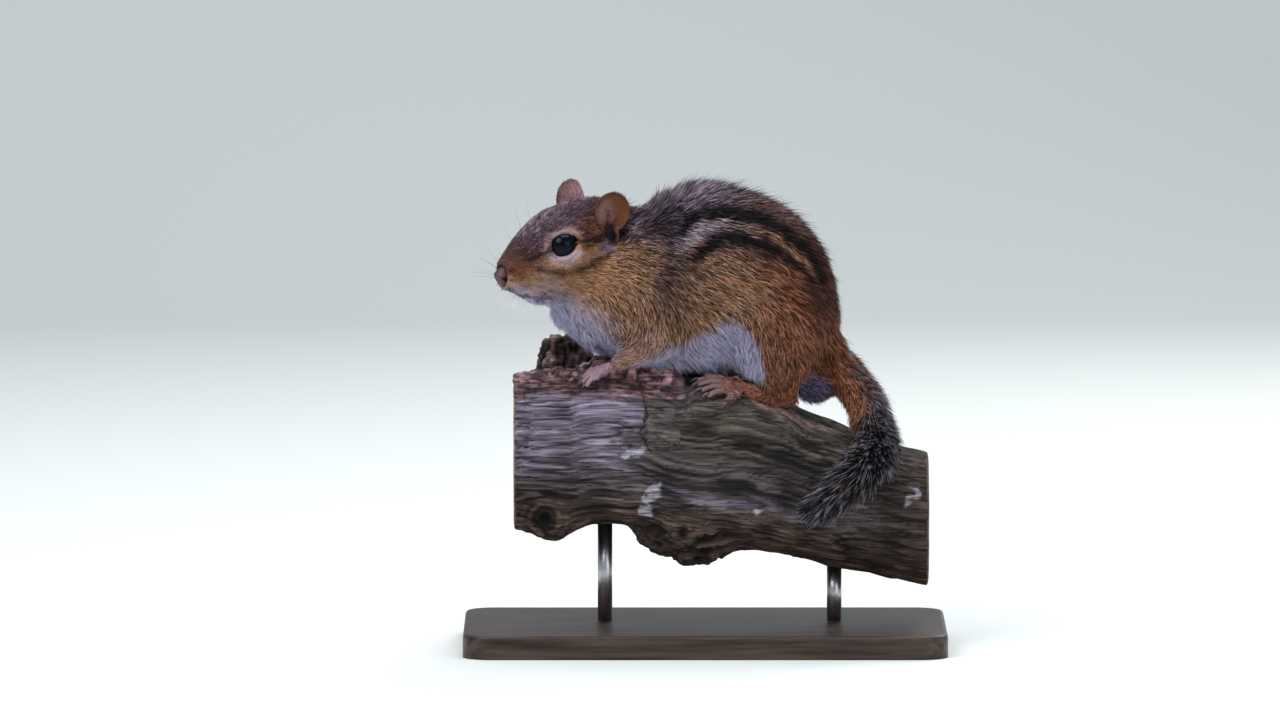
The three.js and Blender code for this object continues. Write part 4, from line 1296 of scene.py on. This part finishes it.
# The ears: thin leaves of skin drawn out from the dark canal to the rim and bowed behind into cups. The
# rim's rows are mm backwards, upwards and outwards from the canal, and how deep the cup is on the way there.
EAR_ROOT = {"left": (3.2, 12.2, 8.1), "right": (3.2, 12, 7.6)}
EAR_TALL = 1.03  # times the height of the rim's rows
EAR_WIDE = {"left": 0.94, "right": 0.88}
EAR_SEAT = 1.5  # mm that the canal stands off the skin
EAR_OPEN = {"left": 58, "right": 88}  # degrees from straight ahead towards the side
EAR_SPLAY = 14
EAR_TIP = {"left": 9, "right": 2}  # degrees that the leaf tips forward
EAR_THICK = 0.5
EAR_MESH = (72, 22)  # parts round the rim and out to it
EAR_HAIRS = 9000
EAR_HAIR_LIFT = 13.0
EAR_HAIR_WIDTH = 0.18
EAR_RIM = [
    (-2.0, 0.3, 1.0, 0.3), (-2.6, 3.0, 1.5, 0.7), (-4.2, 6.2, 2.0, 0.9), (-4.6, 10.2, 1.7, 1.4),
    (-3.2, 13.6, 1.2, 2.6), (-0.4, 15.5, 0.6, 3.8), (2.2, 15.9, 0.4, 3.8), (4.8, 15.2, 0.6, 3.8),
    (6.8, 13.2, 0.9, 3.8), (7.6, 10.6, 1.4, 3.6), (7.4, 7.6, 2.1, 3.2), (5.8, 4.8, 2.9, 2.4),
    (4.2, 3.4, 3.1, 1.4), (4.4, 1.0, 2.4, 0.9), (4.0, -2.2, 1.4, 0.5), (1.6, -5.2, 0.7, 0.2),
    (-1.6, -4.6, 0.8, 0.2), (-2.0, 0.3, 1.0, 0.4),
]
EAR_SKIN = paint(154, 104, 88)
EAR_ORANGE = paint(160, 96, 62)
EAR_RUST = paint(112, 70, 56)
EAR_BACK = paint(140, 102, 102)
EAR_LIGHT = paint(186, 142, 134)
# Painted shade for the opening of the canal.
EAR_CANAL_SHADE = paint(44, 32, 36)

skin_tree = BVHTree.FromObject(skin, bpy.context.evaluated_depsgraph_get())


def ear_axes(name, side):
    """The ear's canal in mm, and its backward, upward and outward directions as columns."""
    heading, splay = radians(EAR_OPEN[name]), radians(EAR_SPLAY)
    up = np.array([0, sin(splay) * side, cos(splay)])
    outward = np.array([cos(heading), sin(heading) * side, 0])
    outward = outward - outward @ up * up
    outward /= np.linalg.norm(outward)
    backward = np.cross(up, outward) * side
    tip = radians(EAR_TIP[name])
    backward, up = backward * cos(tip) + up * sin(tip), up * cos(tip) - backward * sin(tip)
    axes = HEAD_TURNED @ np.array([backward, up, outward]).T
    root = from_head((np.array(EAR_ROOT[name]) * np.array([1, side, 1]))[None])[0]
    start = Vector(root + axes[:, 2] * 20) * MM
    seat = skin_tree.ray_cast(start, Vector(-axes[:, 2]))[0]
    return np.array(seat) / MM + axes[:, 2] * EAR_SEAT, axes


def ear_leaf(name, side):
    bm = bmesh.new()
    bmesh.ops.create_grid(bm, x_segments=EAR_MESH[0], y_segments=EAR_MESH[1], size=1)
    flat = positions(bm)
    rim = curve_through(EAR_RIM, 200)
    steps = np.linspace(0, 1, len(rim))
    around, reach = (flat[:, 0] + 1) / 2, (flat[:, 1] + 1) / 2
    edge = np.stack([np.interp(around, steps, rim[:, k]) for k in range(4)], axis=1)
    shape = edge[:, :3] * reach[:, None] * np.array([EAR_WIDE[name], EAR_TALL, 1])
    shape[:, 2] -= edge[:, 3] * np.sin(pi * reach**1.15) * 1.15
    crease = np.hypot((shape[:, 0] - 3.4) * 0.55 - (shape[:, 1] - 8) * 0.3, 0.25 * (shape[:, 0] - 2))
    shape[:, 2] += 0.7 * np.exp(-(crease**2) * 1.6) * (reach < 0.98) * smooth_step(shape[:, 1], 3, 6)
    root, axes = ear_axes(name, side)
    place(bm, (root + shape @ axes.T) * MM)
    bmesh.ops.remove_doubles(bm, verts=bm.verts, dist=1e-6)
    bmesh.ops.recalc_face_normals(bm, faces=bm.faces)
    bmesh.ops.solidify(bm, geom=bm.faces[:], thickness=EAR_THICK * MM)
    bmesh.ops.recalc_face_normals(bm, faces=bm.faces)
    return bm


def ear_colours(name, side, points, out):
    root, axes = ear_axes(name, side)
    back, up, height = ((points - root) @ axes / np.array([EAR_WIDE[name], EAR_TALL, 1])).T
    back = back + 0.5 * noise(points, 1.5, 32)
    inside = smooth_step(out @ axes[:, 2], -0.15, 0.3)
    colour = mixed(np.tile(EAR_BACK, (len(points), 1)), EAR_SKIN, inside)
    warm = np.maximum(smooth_step(up, 9, 13), smooth_step(back, 1, 5)) * smooth_step(up, 2, 7)
    colour = mixed(colour, EAR_ORANGE, inside * warm)
    light = smooth_step(np.hypot(back + 1.2, (up - 8.6) / 1.3), 4.4, 1)
    colour = mixed(colour, EAR_LIGHT, 0.9 * inside * light)
    colour = mixed(colour, EAR_BARE, inside * smooth_step(up, 0.6, -1) * smooth_step(back, 3.4, 1.6))
    # Painted shade where the canal opens.
    hollow = np.hypot((back - 1 + 0.3 * (up - 2)) / 1.6, (up - 1.3) / 2.2)
    colour = mixed(colour, EAR_CANAL_SHADE * 0.7, inside * smooth_step(hollow, 1.9, 0.9))
    edge = np.array(curve_through(EAR_RIM, 120))[:, :2]
    away = np.hypot(back[:, None] - edge[:, 0], up[:, None] - edge[:, 1]).min(1)
    colour = mixed(colour, EAR_RUST * 0.6, 0.6 * smooth_step(away, 3, 0.8) * smooth_step(up, 7, 13))
    colour = colour * (1 - 0.45 * smooth_step(up, 6, 1.5))[:, None]
    return mixed(colour, EAR_RUST * 0.6, smooth_step(away, 0.8, 0.25) * smooth_step(up, 1, 5))


ear_skin = marked_material("ear_skin", 0.6, 0.3, bump=0.4, grain=1800)
for name, side in SIDES.items():
    bm = ear_leaf(name, side)
    points, out = positions(bm) / MM, normals(bm)
    ear = new_piece(f"ear_leaf_{name}", bm, ear_skin)
    coloured(ear.data, "marks", ear_colours(name, side, points, out) * 0.85)
    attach(ear, "root")
    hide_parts(f"ear_{name}")
    root, axes = ear_axes(name, side)
    count = EAR_HAIRS
    sparse_inside = lambda at, way: np.where(way @ axes[:, 2] > 0.2, 0.5, 1.0)
    roots, out, patch = rooted(surface_of(ear), count, sparse_inside)
    inner = smooth_step(out @ axes[:, 2], -0.2, 0.35)
    lie = unit(axes[:, 1] - out * (out @ axes[:, 1])[:, None])
    lie = turned_about(lie, out, random.normal(0, 18, count) + 16 * noise(roots, 3, 31))
    length = random.uniform(0.9, 1.9, count) * (1 - 0.1 * inner)
    colour = ticked(ear_colours(name, side, roots, out), roots)
    # The root is darkened as painted shade between the hairs.
    shades = [colour * 0.5, limited(colour * 1.55)]
    lift, width = np.full(count, EAR_HAIR_LIFT), np.full(count, EAR_HAIR_WIDTH)
    fuzz = tuft_piece(f"ear_hair_{name}", roots, out, lie, length, lift, width, patch, shades, hair)


# Claws: dark hooked horn at the tip of each toe.
CLAW_REACH = {"forepaw": 2.3, "hind_foot": 3.1}  # mm

horn = pebbled_material("claw_horn", (paint(112, 98, 100), paint(60, 50, 52)), 0.3, 700, 0.2)
for kind, reach in CLAW_REACH.items():
    for name in SIDES:
        bm = bmesh.new()
        for root, tip in toe_lines[f"{kind}_{name}"]:
            a, b = np.array(root), np.array(tip)
            way = (b - a) / np.linalg.norm(b - a)
            start = b + np.array([0, 0, 0.35])
            swept(bm, [
                (*start, 0.52),
                (*(start + way * reach * 0.45 + np.array([0, 0, 0.1])), 0.44),
                (*(start + way * reach * 0.8 - np.array([0, 0, 0.35])), 0.28),
                (*(start + way * reach - np.array([0, 0, 0.95])), 0.07),
            ], sides=8)
        claws = new_piece(f"claws_{kind}_{name}", bm, horn)
        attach(claws, "root")


# Whiskers: stiff dark hairs in rows on the upper lip, some on the brow, and short white ones on the chin.
WHISKER_ROWS = 3
WHISKERS_A_ROW = 5
# Each hair of the brow on the left: its place and way in the head's frame, and its length, in mm.
BROW_HAIRS = [
    ((27, 3.6, 8.2), (0.25, 0.3, 1), 13),
    ((30, 3, 4), (0.5, 0.35, 1), 12),
    ((21, 8.5, 12.4), (0.1, 0.5, 1), 9),
]
CHIN_HAIRS = 40


def whisker(bm, at, way, length, droop, thick):
    """One hair that starts along `way` from a place in the head's frame and bends back and down."""
    way = np.array(way) / np.linalg.norm(way)
    line = []
    for t in np.linspace(0, 1, 7):
        point = np.array(at) + way * length * t + np.array([-0.35, 0, -0.4]) * droop * length * t * t
        line.append((*from_head(point[None])[0], thick * (1 - 0.85 * t)))
    return swept(bm, line, sides=4)


dark_hair = pebbled_material("whisker_hair", (paint(46, 36, 36), paint(70, 56, 54)), 0.4, 300, 0.1)
white_hair = pebbled_material("chin_hair", (paint(244, 242, 246), paint(232, 228, 236)), 0.5, 300, 0.1)
long_hairs, short_hairs = bmesh.new(), bmesh.new()
for side in SIDES.values():
    for row in range(WHISKER_ROWS):
        for k in range(WHISKERS_A_ROW):
            at = (34 - 1.7 * k - 0.4 * row, (4.1 + 0.55 * k) * side, -4.4 - 1.4 * row)
            spread = random.uniform(-0.12, 0.12, 3)
            way = np.array([0.55 - 0.36 * k, 0.8 * side, 0.55 - 0.26 * row]) + spread
            whisker(long_hairs, at, way, random.uniform(11, 17) + 1.8 * k, 0.5, 0.06)
    flip = np.array([1, side, 1])
    for at, way, length in BROW_HAIRS:
        whisker(long_hairs, at * flip, way * flip, length, 0.3, 0.05)
    for k in range(CHIN_HAIRS):
        at = (random.uniform(16, 33.5), random.uniform(0.5, 4.5) * side, random.uniform(-13.4, -11.2))
        way = (random.uniform(-0.1, 0.6), 0.3 * side, -1)
        whisker(short_hairs, at, way, random.uniform(3, 8), 0.2, 0.08)
for name, bm, finish, slot in (
    ("whiskers", long_hairs, dark_hair, "coat"),
    ("chin_hairs", short_hairs, white_hair, "pale_coat"),
):
    piece = new_piece(name, bm, finish)
    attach(piece, "root")


# The perch: a weathered limb, bare but for a ragged strip of reddish bark along its top. A ridge under the
# belly and a ledge under each hind foot carry the animal. Its grain is cut into it and flows round a knot and
# a swollen burr below, and its sawn ends show rings.
WOOD_MESH = 0.6 * MM
WOOD_ROUNDS = 10  # of smoothing
WOOD_GREY = paint(98, 88, 88)
WOOD_PALE = paint(166, 154, 180)
WOOD_GREEN = paint(94, 86, 76)
WOOD_PINK = paint(156, 128, 126)
WOOD_LOW = paint(94, 76, 68)
BARK = paint(180, 140, 144)
LICHEN = paint(208, 204, 216)
SAWN = paint(152, 130, 108)
SAWN_RING = paint(126, 104, 84)
RING_GAP = 1.4  # mm
KNOT_AT = (545, 520)
BURR_AT = (683, 548)
PINK_STREAK = [(752, 411, 2), (775, 418, 4), (805, 424, 4), (832, 428, 3), (850, 434, 2)]
PALE_STREAKS = [
    [(660, 487, 3), (700, 500, 5), (750, 503, 5), (800, 512, 3)],
    [(514, 402, 6), (570, 408, 9), (640, 416, 8)],
]
LICHEN_SPOTS = [
    ((634, 452), (9, 5)),
    ((652, 494), (6, 8)),
    ((646, 512), (10, 7)),
    ((754, 513), (6, 3.5)),
    ((912, 492), (4.5, 9)),
]
# A painted shadow on the wood under the belly: middle and size in pixels.
SHADOW_UNDER_BELLY = ((712, 375), (38, 12))
BURR_LUMPS = [((650, 541), (17, 22), 3.4), ((716, 553), (17, 20), 2.0)]
RIDGE_RISE = 2.4
LEDGE_RISE = 3.8
FLAP = ((661, 430), (17, 20))
FLAP_EDGE = [(642, 394, 0.8), (645, 410, 1.6), (644, 430, 1.8), (650, 450, 1)]
LOW_EDGE = [(514, 487), (620, 502), (760, 517), (930, 547)]
WOOD_MARKS = [
    (WOOD_PALE, 0.5, ramp, (655, 610), (492, 455)),
    (DARK, 0.3, ramp, (600, 560), (430, 415)),
    (WOOD_GREEN, 0.8, spot, (770, 432), (95, 34), 0.5),
    (WOOD_LOW, 1, below, LOW_EDGE, 14),
    (WOOD_LOW * 0.7, 0.75, ramp, (850, 895)),
    (WOOD_PALE, 0.4, on_line, PALE_STREAKS[0], 0.8),
    (WOOD_PALE, 0.4, on_line, PALE_STREAKS[1], 0.8),
    (WOOD_PINK, 0.85, on_line, PINK_STREAK, 0.6),
]
SLICES = range(-62, 75, 4)  # mm along X at which the limb's middle line is read

outline = positions(node_mesh("perch")) / MM
slices = [outline[np.abs(outline[:, 0] - x) < 5, 2] for x in SLICES]
wood_axis = np.array([[x, (part.min() + part.max()) / 2] for x, part in zip(SLICES, slices)]).T


def over_axis(points):
    """How far points are above the limb's middle line, in mm."""
    return points[:, 2] - np.interp(points[:, 0], *wood_axis)


def wood_places(points):
    """Picture column and row, the same on both sides, and places whose first axis runs along the grain."""
    column, row = picture_place(seen_from_left(points))
    grain = np.stack([points[:, 0], points[:, 1], over_axis(points)], axis=1)
    for at, reach in ((KNOT_AT, 26), (BURR_AT, 40)):
        away = np.hypot(column - at[0], row - at[1]) / reach
        grain[:, 2] += (row - at[1]) * PIXEL * 0.75 * np.exp(-(away**2))
    grain[:, 1] += 0.8 * noise(points, 20, 41)
    grain[:, 2] += 0.5 * noise(points, 18, 42)
    return column, row, grain


def along_grain(grain, stretch, size, seed):
    return noise(grain / np.array([stretch, 1, 1]), size, seed)


def wood_rise(points, out):
    """How far the limb is raised, in mm: the ridge, the ledges and the burr's lobes."""
    x, spread = points[:, 0], np.abs(points[:, 1])
    ridge = smooth_step(spread, 10, 5) * smooth_step(x, 18, 8) * smooth_step(x, -42, -36)
    ledge = smooth_step(spread, 8, 12) * smooth_step(spread, 27, 21)
    ledge = ledge * smooth_step(x, -9, -3) * smooth_step(x, 36, 24)
    height = ridge * (RIDGE_RISE + 2 * smooth_step(x, -20, -28)) + ledge * LEDGE_RISE
    height = height * smooth_step(out[:, 2], 0.1, 0.4)
    column, row = picture_place(points * np.array([1, 0, 1]))
    lumps = sum(rise * spot(column, row, at, size, 0.6) for at, size, rise in BURR_LUMPS)
    return height + lumps * smooth_step(out[:, 2], 0.1, -0.5) * smooth_step(spread, 20, 10)


def bark_share(points, column, row):
    """1 where the strip of bark is left."""
    ragged = row + 5 * noise(points, 5, 43) + 2.5 * noise(points, 1.6, 44)
    return smooth_step(ragged, 400, 394) * smooth_step(column + 5 * noise(points, 2.5, 45), 688, 676)


def groove(wave, width):
    """1 along the lines where a noise crosses 0, falling away at `width` to either side."""
    return np.exp(-((wave / width) ** 2))


def on_sawn_end(out, low=0.75):
    """1 where a surface faces along the limb."""
    return smooth_step(np.abs(out[:, 0]), low, 0.9)


def wood_relief(points, out):
    """How far the limb's surface stands out or in, in mm."""
    column, row, grain = wood_places(points)
    fine = along_grain(grain, 22, 1.15, 46)
    middle = along_grain(grain, 30, 2.4, 47)
    crack = along_grain(grain, 30, 7, 48)
    relief = -0.5 * groove(fine, 0.19) - 0.6 * groove(middle, 0.12)
    relief += 0.28 * along_grain(grain, 12, 0.9, 49) - 1.0 * groove(crack, 0.035)
    relief += 0.5 * noise(points, 7, 50)
    bark = bark_share(points, column, row)
    chunk = along_grain(grain, 1.7, 2.4, 51) + 0.5 * noise(points, 1.2, 67)
    relief = relief * (1 - 0.6 * bark) + bark * (1.0 + 0.9 * chunk - 1.3 * groove(chunk, 0.14))
    away = np.hypot(column - KNOT_AT[0], row - KNOT_AT[1]) * PIXEL
    relief += 0.5 * np.cos(away * 2 * pi / 2.6) * groove(away, 7) - 2.6 * groove(away, 2.6)
    burr = spot(column, row, BURR_AT, (46, 24), 0.5)
    relief += burr * (1.1 * noise(points * np.array([1, 1, 0.5]), 2.6, 52) + 0.6 * noise(points, 1.3, 53))
    ragged = column + 5 * noise(points, 3, 65)
    flap = spot(ragged, row + 4 * noise(points, 2.5, 66), *FLAP, 0.12)
    relief += 0.9 * flap - 0.8 * on_line(ragged, row, FLAP_EDGE, 0.5)
    feet_rest = smooth_step(np.abs(np.abs(points[:, 1]) - 14.5), 6, 2.5) * (out[:, 2] > 0.5)
    relief = np.where(feet_rest > 0, np.minimum(relief, 0.25) * (1 - 0.4 * feet_rest), relief)
    relief *= 1 - 0.9 * on_sawn_end(out, 0.7)
    return relief + wood_rise(points, out)


def wood_colours(points, out, relief):
    column, row, grain = wood_places(points)
    column = column + 4 * noise(points, 5, 54)
    row = row + 3 * noise(points, 4, 55)
    colour = painted(np.tile(WOOD_GREY, (len(points), 1)), column, row, WOOD_MARKS)
    bark = bark_share(points, column, row)
    crumbs = 0.3 + 1.1 * smooth_step(along_grain(grain, 1.6, 1.3, 68), -0.4, 0.5)
    crumbs *= 0.7 + 0.4 * smooth_step(column, 560, 640)
    colour = mixed(colour, BARK, bark) * (1 + bark * (crumbs - 1))[:, None]
    # Painted shadow under the belly.
    colour = colour * (1 - 0.8 * spot(column, row, *SHADOW_UNDER_BELLY, 0.35))[:, None]
    relief = relief - 0.55 * bark - wood_rise(points, out)
    streak = along_grain(grain, 36, 1.0, 56) * 0.5 + along_grain(grain, 18, 0.7, 57) * 0.4
    colour = colour * (1 + streak)[:, None]
    # Painted shade: the deeper the carved grooves and cracks, the darker.
    colour = colour * (0.16 + 0.94 * smooth_step(relief, -1.0, 0.25))[:, None]
    patchy = 7 * noise(points, 2.6, 59) + 4 * noise(points, 1.1, 60)
    for at, size in LICHEN_SPOTS:
        colour = mixed(colour, LICHEN, 0.7 * spot(column + patchy, row - 0.7 * patchy, at, size, 0.3))
    away = np.hypot(column - KNOT_AT[0], row - KNOT_AT[1])
    colour = colour * (1 - 0.85 * smooth_step(away, 14, 5))[:, None]
    ring = np.hypot(points[:, 1] * 0.95 + 2, over_axis(points) * 0.9) + noise(points, 12, 58)
    sawn = mixed(np.tile(SAWN, (len(points), 1)), SAWN_RING, 0.5 + 0.5 * np.sin(ring * 2 * pi / RING_GAP))
    return mixed(colour, sawn, on_sawn_end(out))


def grained(mesh, shares):
    """Keeps how strongly the wood's fine streaks show at each point of a mesh."""
    mesh.attributes.new("grain", "FLOAT", "POINT").data.foreach_set("value", shares.astype(np.float32))


def wood_material(name, stretch, grain, bump, roughness=0.8):
    """Wood: the markings darkened by fine streaks that run along X, which also roughen it."""
    material = plain_material(name, (0.2, 0.16, 0.14), roughness, specular=0.25)
    turn = pattern(material, "Mapping", Scale=(grain / stretch, grain, grain), Rotation=(0, radians(-9), 0))
    streaks = add_node(material, "TexNoise", Scale=1, Detail=8, Roughness=0.62)
    connect(material, turn, "Vector", streaks, "Vector")
    strength = attribute(material, "grain")
    shades = tones(material, streaks, (0.36, (0.12, 0.11, 0.11)), (0.6, (1, 1, 1)))
    connect(material, strength, "Fac", tinted(material, shades), "Factor")
    relief = roughened(material, streaks, "Fac", Distance=bump)
    connect(material, strength, "Fac", relief, "Strength")
    return material


def wooden(name, node, relief_of, colours_of, material):
    """Replaces a CAD node with a finer copy whose surface is carved and stained."""
    bm = remeshed(node_mesh(node), WOOD_MESH)
    relax(bm, np.full(len(bm.verts), 0.6), WOOD_ROUNDS)
    points, out = positions(bm) / MM, normals(bm)
    relief = relief_of(points, out)
    place(bm, (points + out * relief[:, None]) * MM)
    piece = new_piece(name, bm, material)
    coloured(piece.data, "marks", colours_of(points, out, relief))
    grained(piece.data, 0.95 - 0.65 * on_sawn_end(out))
    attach(piece, "root")
    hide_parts(node)
    return piece


dead_wood = wood_material("dead_wood", stretch=26, grain=1200, bump=0.6 * MM)
wooden("perch_limb", "perch", wood_relief, wood_colours, dead_wood)


# The stub of a broken side branch behind the animal: dark, deeply folded bark with a ragged top.
STUB_BARK = paint(78, 60, 54)
# Pale bark towards the stub's left end, also used as a painted highlight on its raised folds.
STUB_PALE_AND_HIGHLIGHT = paint(168, 146, 156)


def stub_relief(points, out):
    folds = noise(points * np.array([1, 1, 0.22]), 2.6, 61)
    relief = 1.2 * folds - 1.6 * groove(folds, 0.16) + 0.8 * noise(points, 1.4, 62)
    return relief + smooth_step(points[:, 2], 99, 103) * 1.6 * noise(points, 2.8, 63)


def stub_colours(points, out, relief):
    colour = mixed(np.tile(STUB_BARK, (len(points), 1)), STUB_PALE_AND_HIGHLIGHT, smooth_step(points[:, 0], -56, -60) * 0.7)
    colour = mixed(colour, BARK, 0.6 * smooth_step(noise(points, 3, 64), 0, 0.6))
    # Painted highlight on the raised folds.
    colour = mixed(colour, STUB_PALE_AND_HIGHLIGHT, 0.7 * smooth_step(relief, 0.6, 1.6))
    # Painted shade in the deep folds.
    return colour * (0.1 + 0.9 * smooth_step(relief, -0.9, 0.8))[:, None]


wooden("branch_stub", "perch_stub", stub_relief, stub_colours, dead_wood)


# The display stand: a dark stained board with an eased top edge, and two brushed steel rods that carry the
# limb.
BOARD_EDGE = 1.4 * MM
BOARD_STAIN = paint(74, 60, 52)
board = node_mesh("stand_base")
bmesh.ops.dissolve_limit(board, angle_limit=radians(1), verts=board.verts, edges=board.edges)
top_z = max(vert.co.z for vert in board.verts)
rims = [edge for edge in board.edges if all(vert.co.z > top_z - 1e-5 for vert in edge.verts)]
bmesh.ops.bevel(board, geom=rims, offset=BOARD_EDGE, segments=4, profile=0.5, affect="EDGES", material=-1)
stained = wood_material("stained_board", stretch=20, grain=420, bump=0.08 * MM, roughness=0.4)
base = new_piece("stand_board", board, stained, smooth=False)
coloured(base.data, "marks", np.tile(BOARD_STAIN, (len(base.data.vertices), 1)))
grained(base.data, np.full(len(base.data.vertices), 0.85))
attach(base, "root")
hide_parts("stand_base")

steel = pebbled_material("brushed_steel", ((0.42, 0.42, 0.43), (0.5, 0.5, 0.51)), 0.32, 900, 0.05)
shader_of(steel).inputs["Metallic"].default_value = 1
for name in [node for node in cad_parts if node.startswith("stand_rod")]:
    solid = positions(node_mesh(name))
    low, high = solid.min(0), solid.max(0)
    middle = (low + high) / 2
    thick = (high[0] - low[0]) / 2
    bm = bmesh.new()
    bmesh.ops.create_cone(
        bm,
        cap_ends=True,
        segments=48,
        radius1=thick,
        radius2=thick,
        depth=high[2] - low[2],
        matrix=Matrix.Translation(Vector(middle)),
    )
    rod = new_piece(name.replace("stand_rod", "steel_rod"), bm, steel)
    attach(rod, "root")
    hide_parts(name)
